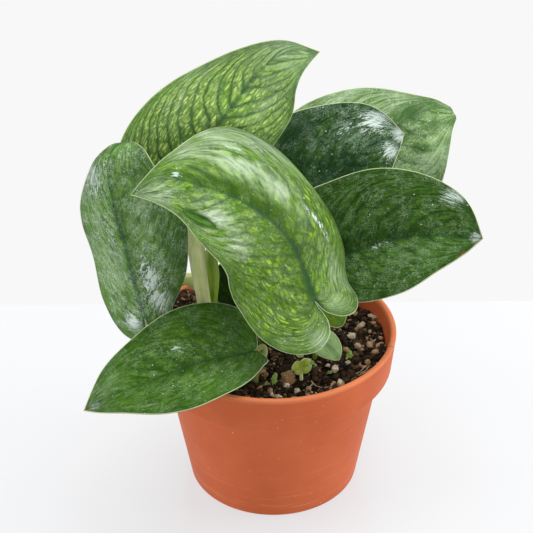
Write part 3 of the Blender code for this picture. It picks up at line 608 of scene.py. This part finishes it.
def leaf_material(name, look):
    """Satin leaf: side veins, bright cells in rows, silvery strokes, white residue, pale margin."""
    deep, body, light, silver, rib, net, reach, cover, veins, fleck, sheen, pitch = look
    m = Nodes("leaf " + name)
    stored = ("along", "aside", "vein", "run", "edge", "under", "shade", "sheen_patches", "residue")
    along, aside, vein, run, edge, under, shade, sheen_patches, residue = map(m.value, stored)
    away = m.size(aside)
    flat = m.vector(along, aside, 3.7 * len(name))
    flow = m.vector(vein, m.times(run, 0.75), 1.3 * len(name))
    slow = m.noise(flat, 0.1, 2)
    wide = m.noise(flat, 0.05, 2)
    medium = m.noise(flat, 0.22, 3, 0.6)
    fine = m.noise(flat, 0.6, 4, 0.68)
    mottle = m.noise(flow, 0.27, 5, 0.7, 0.7)
    stroke = m.noise(flow, 0.55, 4, 0.72, 1.1)

    # Wavering side veins
    bent = m.plus(vein, m.times(m.minus(slow, 0.5), 7))
    phase = m.size(m.minus(m.math("FRACT", m.over(bent, VEIN_SPACING)), 0.5))
    vein_line = m.times(m.step(phase, 0.16, 0.03), m.step(edge, 0.8, 3.5), m.step(medium, 0.2, 0.5))
    vein_soft = m.step(phase, 0.36, 0.04)

    # Bright cells, laid in rows between the veins: the leaf's own net, brightened as painted light
    # shining through the blade
    laid = m.vector(m.over(bent, VEIN_SPACING / 2), m.over(run, pitch), 0)
    laid = m.shift(laid, m.times(m.minus(m.noise(flat, 0.35, 2), 0.5), 0.5))
    cell = m.step(m.cells(laid, 1, "DISTANCE_TO_EDGE", 0.8), 0.02, 0.1 * pitch)
    glow = m.step(m.noise(laid, 0.9, 1), 0.36, 0.62)
    spread = m.larger(m.step(m.noise(flat, 0.09, 3, 0.6), 0.4, 0.58), cover)
    near_base = m.step(along, reach * 1.5, reach * 0.5)
    near_base = m.times(near_base, m.step(edge, 1, 4), m.step(away, 0.8, 3), net)
    bright = m.times(cell, m.sum(0.3, (glow, 0.7)), spread, near_base)

    # Colour, from the body outward
    m.paint(deep)
    m.paint(body, m.step(wide, 0.34, 0.66))
    m.paint(body, m.step(medium, 0.4, 0.6), 0.65)
    calm = m.minus(1, m.times(near_base, spread, 0.6))
    m.paint(light, m.step(mottle, 0.51, 0.6), calm, 0.45)
    m.paint(deep, m.step(mottle, 0.49, 0.41), calm, 0.7)
    m.paint(deep, near_base, spread, 0.5)
    m.paint(light, bright)
    m.paint(deep, m.step(fine, 0.48, 0.38), 0.45)
    m.paint(deep, vein_soft, 0.4 * veins)
    m.paint(deep, vein_line, 0.95 * veins)
    m.paint(deep, m.step(edge, 4, 1), 0.4)
    m.paint(deep, shade, 0.9)

    # Painted sheen: a pale veil where the leaf would catch the light, strongest in the sheen patches and
    # dimmed in the painted shade. Short squiggling silvery strokes are the leaf's own marks, also dimmed
    # there.
    lit = m.minus(1, m.times(shade, 0.85))
    sheen_bands = m.step(m.noise(m.vector(vein, m.times(run, 0.35)), 0.24, 4, 0.55), 0.3, 0.64)
    sheen_veil = m.sum(0.05 * sheen, (sheen_patches, 0.8))
    sheen_veil = m.times(sheen_veil, sheen_bands, lit, sheen)
    sheen_veil = m.times(sheen_veil, m.sum(0.55, (m.step(mottle, 0.38, 0.56), 0.45)))
    m.paint(silver, sheen_veil)
    fibre = m.step(m.size(m.minus(m.noise(flat, 0.3, 4, 0.68, 1.6), 0.5)), 0.018, 0.005)
    hair = m.step(m.size(m.minus(m.noise(flow, 0.42, 4, 0.72, 1.8), 0.52)), 0.016, 0.004)
    strokes = m.larger(m.times(fibre, 0.9), m.step(stroke, 0.59, 0.66))
    strokes = m.larger(strokes, m.times(hair, 0.8))
    clumps = m.sum(0.15, (m.step(m.noise(flat, 0.17, 4, 0.65), 0.42, 0.58), 0.85))
    strokes = m.times(strokes, clumps, lit, fleck)
    m.paint(silver, strokes)

    # White specks and dried residue
    speck = m.step(m.cells(flat, 0.42, "F1"), 0.16, 0.09)
    some = m.step(m.noise(flat, 0.55, 1), 0.55, 0.6)
    dense = m.sum(m.noise(flow, 0.42, 6, 0.72, 1.2), (residue, 0.22))
    dried = m.times(m.step(dense, 0.6, 0.69), m.step(residue, 0.05, 0.35))
    white = m.larger(m.times(speck, some, 0.75), m.times(dried, 0.9))
    m.paint((0.58, 0.68, 0.62), white)

    # Midrib, crease with painted shade along its walls, margin and underside
    middle = m.step(m.plus(away, m.times(along, 0.012)), 2.4, 0.6)
    m.paint(rib, middle, m.minus(0.75, m.times(strokes, 0.5)))
    # Painted shade along the walls of the front leaf's dent
    m.paint((0.012, 0.05, 0.006), m.value("crease_shade"))
    m.paint((0.065, 0.2, 0.008), m.value("green"))
    m.paint((0.25, 0.13, 0.04), m.value("brown"))
    m.paint(CREAM, m.step(edge, 0.4, 0.14))
    pale = m.mix(m.step(fine, 0.3, 0.7), (0.12, 0.215, 0.07), (0.18, 0.29, 0.11))
    pale = m.mix(m.times(vein_line, 0.35), pale, (0.27, 0.37, 0.17))
    pale = m.mix(m.step(away, 1.8, 0.8), pale, (0.31, 0.4, 0.19))
    m.paint(pale, under)

    height = m.sum(0, (cell, 0.25), (vein_line, -0.5), (mottle, 0.8), (white, 0.4))
    roughness = m.sum(0.36, (fine, 0.2), (under, 0.2), (white, 0.2))
    return m.finish(roughness, height, 0.25, 0.05)


def stalk_material(name, pale, green):
    """Fleshy stalk: pale with green streaks and faint slanted seams, greener at the foot."""
    m = Nodes("stalk " + name)
    x, y, z = m.split(m.position())
    along = m.value("along")
    turn = m.value("turn")
    streak = m.noise(m.vector(m.times(turn, 3), m.times(along, 0.05)), 1.4, 3)
    slant = m.plus(along, m.times(turn, 13))
    seam = m.size(m.minus(m.math("FRACT", m.over(slant, 11)), 0.5))
    line = m.times(m.step(seam, 0.022, 0.008), 0.25)
    m.paint(pale)
    m.paint(green, m.step(streak, 0.35, 0.7))
    m.paint(green, m.step(z, 82, 74), 0.5)
    m.paint((0.16, 0.22, 0.06), line)
    return m.finish(0.5, m.sum(0, (streak, 0.5), (line, -1)), 0.2, 0.4)


def pot_material():
    """Matte terracotta with pale speckles, dust low down and a hairline nick in the lip."""
    m = Nodes("pot")
    place = m.position()
    x, y, z = m.split(place)
    wide = m.noise(place, 0.03, 3)
    grain = m.noise(place, 1.6, 4, 0.7)
    m.paint((0.44, 0.084, 0.022))
    m.paint((0.5, 0.104, 0.031), m.step(wide, 0.3, 0.7))
    m.paint((0.58, 0.16, 0.06), m.step(grain, 0.45, 0.8), 0.25)
    specks = m.step(m.cells(place, 0.42, "F1"), 0.16, 0.07)
    some = m.step(m.noise(place, 0.23, 2), 0.55, 0.62)
    m.paint((0.8, 0.5, 0.33), specks, some, 0.5)
    pits = m.step(m.cells(m.vector(m.plus(x, 40), y, z), 0.3, "F1"), 0.1, 0.05)
    m.paint((0.23, 0.06, 0.025), pits, m.step(wide, 0.5, 0.62), 0.7)
    ring = m.noise(m.vector(m.times(x, 0.02), m.times(y, 0.02), z), 0.9, 4, 0.7)
    low = m.times(m.step(z, 22, 6), m.step(z, -1, 5))
    scratch = m.step(ring, 0.56, 0.68)
    m.paint((0.8, 0.43, 0.26), scratch, m.sum(0.06, (low, 0.35)))
    # Painted shadow under the overhanging band
    band_shadow = m.times(m.step(z, 59, 63.5), m.step(z, 64.2, 63.6))
    m.paint((0.3, 0.085, 0.035), band_shadow, 0.25)
    # Painted highlight along the top of the lip
    lip_highlight = m.step(z, 80.9, 82)
    m.paint((0.68, 0.23, 0.095), lip_highlight, 0.5)
    turn = m.math("ARCTAN2", y, x)
    away = m.size(m.plus(turn, math.radians(17.2)))
    nick = m.times(m.step(away, 0.005, 0.002), m.step(z, 79, 82), 0.8)
    m.paint((0.16, 0.05, 0.025), nick)
    height = m.sum(0, (grain, 0.6), (scratch, 0.2), (nick, -1))
    return m.finish(m.sum(0.48, (grain, 0.2)), height, 0.1, 0.2)


def soil_material():
    """Damp peat: nearly black, with brown and tan fibres; each crumb has its own tone."""
    m = Nodes("soil")
    place = m.position()
    tone = m.value("tone")
    fine = m.noise(place, 0.8, 5, 0.7)
    m.paint((0.005, 0.003, 0.002))
    m.paint((0.05, 0.028, 0.014), m.step(tone, 0.1, 0.6))
    m.paint((0.42, 0.265, 0.15), m.step(tone, 0.74, 0.96))
    m.paint((0.18, 0.1, 0.05), m.step(fine, 0.54, 0.72), 0.5)
    return m.finish(m.sum(0.95, (fine, -0.35)), fine, 0.5, 0.12)


def plain_material(name, first, second, scale, roughness, depth):
    """Two colours mixed by noise, with the noise as bump."""
    m = Nodes(name)
    spots = m.noise(m.position(), scale, 4, 0.65)
    m.paint(first)
    m.paint(second, m.step(spots, 0.35, 0.68))
    return m.finish(roughness, spots, depth, 0.4)


def waves(x, y):
    """A soft unevenness between about -1 and 1, for blades."""
    return (np.sin(0.21 * x + 0.6) * np.cos(0.17 * y) + 0.5 * np.sin(0.43 * x - 0.31 * y + 1.7)) / 1.5


def crease(key, along, aside, width):
    """The narrow dent in the front leaf's left half, from 0 to 1."""
    if key != "front":
        return np.zeros_like(along)
    start, end = np.array(CREASE)
    line = end - start
    t = ((along - start[0]) * line[0] + (aside - start[1]) * line[1]) / (line @ line)
    inside = t.clip(0, 1)
    off = np.hypot(along - start[0] - inside * line[0], aside - start[1] - inside * line[1])
    return np.exp(-(off / (width * (0.15 + np.sin(np.pi * inside) ** 0.7))) ** 2)


def patches(spots, along, aside, length):
    """Soft patches on a blade, from 0 to 1."""
    total = np.zeros_like(along)
    for u, v, reach_u, reach_v, strength in spots:
        away = ((along / length - u) / reach_u) ** 2 + ((aside - v) / reach_v) ** 2
        total = np.maximum(total, strength * np.exp(-away))
    return total


def add_leaf_uv(mesh, faces, along, aside, count):
    """Flat places of the blade as a UV map, upper side left and underside right."""
    corners = np.concatenate(faces)
    under = np.repeat([min(face) >= count for face in faces], [len(face) for face in faces])
    across, down = [(value - value.min()) / np.ptp(value) for value in (aside, along)]
    places = np.stack([0.01 + 0.48 * across[corners] + 0.5 * under, 0.01 + 0.98 * down[corners]], 1)
    mesh.uv_layers.new(name="OFBake").data.foreach_set("uv", places.ravel().astype(np.float32))


def add_blade(key, node, leaf, rows, columns):
    """One leaf blade: grooved midrib above, raised midrib below, gentle waves and a thin margin."""
    grid, along, aside, length = leaf_surface(leaf, rows, columns)
    normals = grid_normals(grid)
    share = np.abs(np.arange(-columns, columns + 1)) / columns * np.ones((rows + 1, 1))
    width = np.abs(aside[:, [0, -1]]).max(1)[:, None]
    climb = VEIN_REACH * np.log(1 - 0.95 * share)
    lateral = along + climb
    size = leaf["width"] / FULL_WIDTH
    margin_left = np.linalg.norm(grid - grid[:, :1], axis=-1)
    margin_right = np.linalg.norm(grid - grid[:, -1:], axis=-1)
    edge = np.where(aside < 0, margin_left, margin_right)
    fade = np.clip(1 - along / length, 0.1, 1)
    groove = 0.45 * size * np.exp(-(aside / (1.3 * size)) ** 2) * fade
    ridge = size * np.exp(-(aside / (1.1 * size)) ** 2) * fade ** 1.3
    ripple = 0.1 * size * np.cos(2 * np.pi * lateral / VEIN_SPACING) * np.clip(edge / 6, 0, 1)
    sway = 0.35 * size * waves(along / size, aside / size) * np.clip(edge / 5, 0.2, 1)
    dent = crease(key, along, aside, 0.8)
    rim = crease(key, along, aside, 2)
    thick = BLADE * (0.7 + 0.3 * np.clip(edge / 3, 0, 1)) / 2
    top = grid + normals * (thick - groove + ripple + sway - CREASE_DEPTH * dent)[..., None]
    bottom = grid + normals * (-thick - ridge + ripple + sway - CREASE_DEPTH * dent)[..., None]
    faces, loops, count = blade_sheet(rows, columns)
    points = np.vstack([flatten(top, rows), flatten(bottom, rows)])
    solid = list(faces) + [tuple(c + count for c in face[::-1]) for face in faces]
    for side, loop in enumerate(loops):
        for a, b in zip(loop[:-1], loop[1:]):
            strip = (a, b, b + count, a + count)
            solid.append(strip if side == 0 else strip[::-1])
    # The ring round the front leaf's dent carries painted shade
    values = {"along": along, "aside": aside, "vein": lateral, "edge": edge,
              "run": np.hypot(climb, aside), "crease_shade": (1.9 * (rim - dent)).clip(0, 1), "green": dent}
    # Residue, brown bits, painted sheen and painted shade, each from its patch table
    for name, table in PATCHES.items():
        values[name] = patches(table.get(key, []), along, aside, length)
    stored = {name: np.tile(flatten(value, rows), 2) for name, value in values.items()}
    stored["under"] = np.r_[np.zeros(count), np.ones(count)]
    blade = mesh_object(node + "_blade", points, solid, stored, leaf_material(key, LEAF_LOOKS[key]))
    add_leaf_uv(blade.data, solid, stored["along"], stored["aside"], count)
    return blade


def tube_faces(first, rings, sides):
    """Faces between rings of points that follow each other from the index first on."""
    starts = range(first, first + (rings - 1) * sides, sides)
    return [(a + k, a + (k + 1) % sides, a + sides + (k + 1) % sides, a + sides + k)
            for a in starts for k in range(sides)]


def add_stalk(name, points, radii, material, sides=20, rings=60):
    """A round tapering stalk along a smooth curve, with its length and turn stored on it."""
    line = evenly(curve_through(points), rings)
    heading = unit(np.gradient(line, axis=0))
    radius = np.interp(np.linspace(0, 1, rings), np.linspace(0, 1, len(radii)), radii)
    side = np.array((1, 0, 0))
    rim = []
    turns = []
    for centre, ahead, r in zip(line, heading, radius):
        side = unit(side - ahead * (side @ ahead))
        up = np.cross(ahead, side)
        for k in range(sides):
            turn = 2 * math.pi * k / sides
            rim.append(centre + r * (math.cos(turn) * side + math.sin(turn) * up))
            turns.append(math.sin(turn))
    faces = tube_faces(0, rings, sides)
    faces.append(tuple(range(sides))[::-1])
    faces.append(tuple(range((rings - 1) * sides, rings * sides)))
    along = np.repeat(np.linspace(0, distances(line)[-1], rings), sides)
    return mesh_object(name, rim, faces, {"along": along, "turn": turns}, material)


def add_leaf(key, leaf, rows, columns):
    """A fine blade and its stalk, standing for the CAD leaf."""
    node = key if key == "sprout" else "leaf_" + key
    blade = add_blade(key, node, leaf, rows, columns)
    path = np.array(leaf["stalk"], float)
    path[-2:] -= np.outer(STALK_SINK, unit(leaf["face"][0]))
    stalk = add_stalk(node + "_stalk", path, leaf["stalk_radius"], STALKS[STALK_OF.get(key, "pale")])
    for piece in (blade, stalk):
        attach(piece, "root")
        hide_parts(node)


def relief(x, y):
    """Gentle unevenness of the soil surface, and the heap against the wall at the back left."""
    swells = ((0.31, 0.12, 0.4), (-0.18, 0.37, 1.9), (0.52, -0.29, 3.1), (0.11, 0.61, 5),
              (-0.47, -0.41, 0.8))
    gentle = RELIEF * sum(math.sin(a * x + b * y + c) for a, b, c in swells) / 2
    away = math.dist((x, y), HEAP) / HEAP_REACH
    return gentle + HEAP_RISE * math.exp(-away * away)


def soil_height(x, y):
    """Height of the fine soil surface, millimetres."""
    rough = noise.fractal(Vector((x * 0.22, y * 0.22, 3)), 1, 2, 4)
    return SOIL_TOP - 0.5 + relief(x, y) + 0.7 * rough


def lump_mesh(detail):
    """Points and faces of a round lump of radius one."""
    work = bmesh.new()
    bmesh.ops.create_icosphere(work, subdivisions=detail, radius=1)
    points = np.array([v.co[:] for v in work.verts])
    faces = [tuple(v.index for v in face.verts) for face in work.faces]
    work.free()
    return points, faces


def add_lumps(name, lumps, detail, rough, material):
    """Many rough lumps as one mesh. Each lump: x, y, z, three half sizes, turn, tone."""
    shape, faces = lump_mesh(detail)
    points = []
    all_faces = []
    tones = []
    for number, (x, y, z, a, b, c, turn, tone) in enumerate(lumps):
        bumps = np.array([noise.noise(Vector(p * 1.6 + (number * 3.1, 0, 0))) for p in shape])
        local = shape * (1 + rough * bumps)[:, None] * (a, b, c)
        spin = Matrix.Rotation(turn, 3, "Z") @ Matrix.Rotation(0.7 * math.sin(number), 3, "X")
        local = local @ np.array(spin).T + (x, y, z)
        all_faces += [tuple(i + len(points) * len(shape) for i in face) for face in faces]
        points.append(local)
        tones.append(np.full(len(shape), tone))
    return mesh_object(name, np.vstack(points), all_faces, {"tone": np.concatenate(tones)}, material)


def lathe(name, profile, sides, material, wobble=0):
    """A round form from its profile: radius, height. The profile starts and ends on the axis."""
    points = [(0, 0, profile[0][1])]
    for radius, height in profile[1:-1]:
        for k in range(sides):
            turn = 2 * math.pi * k / sides
            uneven = 1 - wobble * (1 + math.sin(2 * turn + 0.7) * math.cos(height / 19)) / 2
            points.append((radius * uneven * math.cos(turn), radius * uneven * math.sin(turn), height))
    points.append((0, 0, profile[-1][1]))
    faces = [(0, 1 + (k + 1) % sides, 1 + k) for k in range(sides)]
    faces += tube_faces(1, len(profile) - 2, sides)
    last = 1 + (len(profile) - 3) * sides
    faces += [(len(points) - 1, last + k, last + (k + 1) % sides) for k in range(sides)]
    return mesh_object(name, points, faces, {}, material)


def rounded(corners, steps=6):
    """A profile with its corners rounded. Each corner: radius, height, rounding."""
    path = [corners[0][:2]]
    for before, here, after in zip(corners, corners[1:], corners[2:]):
        centre = np.array(here[:2])
        start = centre + unit(np.array(before[:2]) - centre) * here[2]
        end = centre + unit(np.array(after[:2]) - centre) * here[2]
        for t in np.linspace(0, 1, steps):
            path.append(tuple((1 - t) ** 2 * start + 2 * t * (1 - t) * centre + t * t * end))
    path.append(corners[-1][:2])
    fine = [path[0]]
    for a, b in zip(path, path[1:]):
        count = max(1, int(math.dist(a, b) / 3))
        for k in range(1, count + 1):
            fine.append((a[0] + (b[0] - a[0]) * k / count, a[1] + (b[1] - a[1]) * k / count))
    return fine


def add_pot():
    """The pot again with finely rounded edges. Each corner: radius, height, rounding."""
    foot = POT_HEIGHT - BAND_HEIGHT
    corners = [(0, 0, 0), (42, 0, 1.1), (52.8, foot, 0.35), (57.8, foot, 1), (59.6, 81.4, 0.6),
               (59.95, POT_HEIGHT, 1.5), (57.2, POT_HEIGHT, 1), (55, foot + 8, 3),
               (48.8, foot - 2, 3), (39.7, 3.6, 2), (0, 3.6, 0)]
    pot = lathe("pot_fine", rounded(corners), 180, pot_material(), 0.002)
    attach(pot, "root")
    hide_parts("pot")


def soil_body(material):
    """The packed soil as one closed form with a rough top."""
    rings, sides = 84, 200
    levels = [(SOIL_RADIUS * (i + 1) / rings, None) for i in range(rings)]
    levels += [(52, 67), (46.5, 55), (39.3, SOIL_FLOOR + 0.3)]
    points = []
    for radius, height in levels:
        for k in range(sides):
            turn = 2 * math.pi * k / sides
            x, y = radius * math.cos(turn), radius * math.sin(turn)
            points.append((x, y, soil_height(x, y) if height is None else height))
    faces = [(a, d, c, b) for a, b, c, d in tube_faces(0, len(levels), sides)]
    faces += [(len(points), k, (k + 1) % sides) for k in range(sides)]
    faces.append(tuple(range(len(points) - sides, len(points)))[::-1])
    points.append((0, 0, soil_height(0, 0)))
    return mesh_object("soil_body", points, faces, {"tone": np.full(len(points), 0.25)}, material)


def crumbs(count, small, large, seed):
    """Places and sizes of loose crumbs, clear of the stalks."""
    dice = np.random.default_rng(seed)
    feet = np.array([leaf["stalk"][1][:2] for leaf in (*LEAVES.values(), *SMALL_LEAVES.values())])
    found = []
    while len(found) < count:
        radius = (SOIL_RADIUS - 1.2) * math.sqrt(dice.random())
        turn = 2 * math.pi * dice.random()
        x, y = radius * math.cos(turn), radius * math.sin(turn)
        size = small + (large - small) * dice.random() ** 2.5
        clear = np.hypot(*(feet - (x, y)).T).min() > 2.2 + size
        long = 1 + 1.6 * dice.random() ** 3
        flat = 0.45 + 0.5 * dice.random()
        tone = dice.random()
        spin = math.pi * dice.random()
        if clear and radius + size * long < SOIL_RADIUS:
            z = soil_height(x, y) + 0.35 * size * flat
            found.append((x, y, z, size * long, size, size * flat, spin, tone))
    return found


def add_scraps(material):
    """Small ragged scraps of leaf standing in the soil."""
    points = []
    faces = []
    for number, (x, y, length, half, turn, rise) in enumerate(SCRAPS):
        start = len(points)
        ahead = np.array((math.cos(turn), math.sin(turn), rise))
        side = unit(np.cross(ahead, (0, 0, 1)))
        lift = np.cross(side, unit(ahead))
        count = 14
        for i in range(count + 1):
            t = i / count
            width = half * (math.sin(math.pi * min(1, 0.12 + 0.88 * t)) ** 0.6 + 0.05)
            ragged = 0.22 * half * math.sin(9 * t + number) + 0.18 * half * math.sin(23 * t + 2 * number)
            centre = np.array((x, y, soil_height(x, y) + 0.2)) + ahead * length * t
            for j in range(-2, 3):
                out = (width + ragged * (1 if j > 0 else -1)) * j / 2
                dip = 0.35 * (j / 2) ** 2 * half + 0.3 * math.sin(6 * t + j)
                points.append(centre + side * out - lift * dip)
        for i in range(count):
            for j in range(4):
                a = start + i * 5 + j
                faces.append((a, a + 1, a + 6, a + 5))
    scraps = mesh_object("leaf_scraps", points, faces, {}, material)
    solid = scraps.modifiers.new("thickness", "SOLIDIFY")
    solid.thickness = 0.4 * MM
    return scraps


def add_roots(material):
    """Thin bare roots lying on the soil."""
    pieces = []
    for number, places in enumerate(ROOTS):
        line = [(x, y, soil_height(x, y) + 1 + 0.5 * math.sin(2 * i + number))
                for i, (x, y) in enumerate(places)]
        pieces.append(add_stalk("root_%d" % number, line, [0.28, 0.24, 0.14], material, 8, 24))
    return pieces


def add_soil():
    """Soil body, crumbs, pale chips, scraps of leaf, roots and the cork chip in the middle."""
    peat = soil_material()
    pale = [(x, y, soil_height(x, y) + 0.8 + 0.35 * c, a, b, c, 1.3 * i, white)
            for i, (x, y, a, b, c, white) in enumerate(CHIPS)]
    specks = [(x, y, z + 0.25, 0.7 * a, 0.7 * b, 0.7 * c, turn, 0.3 + 0.7 * tone)
              for x, y, z, a, b, c, turn, tone in crumbs(200, 0.3, 0.9, 13)]
    cork = plain_material("cork", (0.24, 0.13, 0.05), (0.42, 0.26, 0.12), 1.2, 0.8, 0.4)
    green = plain_material("leaf scraps", (0.15, 0.26, 0.035), (0.33, 0.45, 0.09), 0.6, 0.5, 0.3)
    roots = plain_material("roots", (0.33, 0.21, 0.11), (0.52, 0.38, 0.22), 0.8, 0.7, 0.2)
    arc = [(-47, 33, 72), (-46.5, 33.5, 76), (-43.9, 34.2, 78.5), (-41, 34.5, 77), (-40, 34.5, 73)]
    pieces = [
        soil_body(peat),
        add_lumps("crumbs_large", crumbs(1500, 0.8, 2, 11), 2, 0.4, peat),
        add_lumps("crumbs_small", crumbs(5200, 0.3, 0.8, 12), 1, 0.35, peat),
        add_lumps("chips", pale, 3, 0.45, chip_material()),
        add_lumps("specks", specks, 2, 0.3, chip_material()),
        add_block("cork_chip", (6.8, -31), (2.6, 2.1, 3), 0.5, cork),
        add_scraps(green),
        *add_roots(roots),
        add_stalk("green_curl", arc, [0.9, 0.9, 0.8], STALKS["green"], 12, 30),
    ]
    for piece in pieces:
        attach(piece, "root")
    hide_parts("soil")


def chip_material():
    """Pale perlite and bark; the tone runs from tan to white."""
    m = Nodes("chips")
    tone = m.value("tone")
    spots = m.noise(m.position(), 0.9, 4, 0.65)
    m.paint((0.26, 0.15, 0.07))
    m.paint((0.64, 0.56, 0.4), m.step(tone, 0.2, 0.95))
    m.paint((0.2, 0.13, 0.06), m.step(spots, 0.52, 0.7))
    return m.finish(0.85, spots, 0.4, 0.3)


def add_block(name, place, half, turn, material):
    """A worn block-shaped chip standing in the soil."""
    work = bmesh.new()
    bmesh.ops.create_cube(work, size=2)
    bmesh.ops.subdivide_edges(work, edges=work.edges[:], cuts=5, use_grid_fill=True)
    x, y = place
    points = []
    for vertex in work.verts:
        p = np.array(vertex.co)
        p = p * 0.8 + p / np.linalg.norm(p) * 0.28
        p *= 1 + 0.14 * noise.noise(Vector(p * 2))
        a, b, c = p * half
        z = soil_height(x, y) + 0.6 * half[2] + c
        points.append((x + a * math.cos(turn) - b * math.sin(turn),
                       y + a * math.sin(turn) + b * math.cos(turn), z))
    faces = [tuple(v.index for v in face.verts) for face in work.faces]
    work.free()
    return mesh_object(name, points, faces, {}, material)


def add_aimed(data, place, back):
    """A camera or a lamp at a place in metres, its rear turned along a direction."""
    thing = bpy.data.objects.new(data.name, data)
    thing.matrix_world = Matrix.Translation(place) @ back.to_track_quat("Z", "Y").to_matrix().to_4x4()
    bpy.context.scene.collection.objects.link(thing)
    return thing


def add_camera():
    """The photograph's viewpoint."""
    rise = math.radians(CAMERA_ELEVATION)
    back = Vector((0, -math.cos(rise), math.sin(rise)))
    data = bpy.data.cameras.new("camera")
    data.lens = LENS
    data.sensor_width = SENSOR
    data.clip_end = 20
    camera = add_aimed(data, (Vector(CAMERA_TARGET) + back * CAMERA_DISTANCE) * MM, back)
    camera.matrix_world = camera.matrix_world @ Matrix.Rotation(math.radians(CAMERA_ROLL), 4, "Z")
    bpy.context.scene.camera = camera


def add_lamps():
    """Soft square lamps, each aimed at a height on the pot's axis."""
    for name, place, height, size, power in LAMPS:
        data = bpy.data.lights.new(name, "AREA")
        data.size = size
        data.energy = power
        add_aimed(data, Vector(place), Vector(place) - Vector((0, 0, height)))


def add_studio():
    """Glossy white floor, and a white wall colour all round."""
    m = Nodes("floor")
    m.paint((0.22, 0.222, 0.226))
    floor_material = m.finish(0.16, None, 0, 0.4)
    m.shader.inputs["Emission Color"].default_value = (0.97, 0.985, 1, 1)
    m.shader.inputs["Emission Strength"].default_value = SURROUND
    corners = [(x, y, 0) for x, y in ((-FLOOR_HALF, -FLOOR_HALF), (FLOOR_HALF, -FLOOR_HALF),
                                      (FLOOR_HALF, FLOOR_BACK), (-FLOOR_HALF, FLOOR_BACK))]
    mesh_object("floor", corners, [(0, 1, 2, 3)], {}, floor_material)
    w = Nodes("studio", "worlds")
    seen = w.node("LightPath", {}, "Is Camera Ray")
    light = w.node("Background", {"Color": (1, 1, 1), "Strength": SURROUND})
    wall = w.node("Background", {"Color": WALL})
    w.put(w.tree.nodes["World Output"].inputs[0], w.node("MixShader", {0: seen, 1: light, 2: wall}))
    bpy.context.scene.world = w.owner
    bpy.context.scene.view_settings.view_transform = "Standard"


STALKS = {kind: stalk_material(kind, *colours) for kind, colours in STALK_COLOURS.items()}

add_camera()
add_studio()
add_lamps()
add_pot()
add_soil()
for key, leaf in LEAVES.items():
    add_leaf(key, leaf, LARGE_ROWS, LARGE_COLUMNS)
for key, leaf in SMALL_LEAVES.items():
    add_leaf(key, leaf, SMALL_ROWS, SMALL_COLUMNS)

bpy.context.view_layer.update()
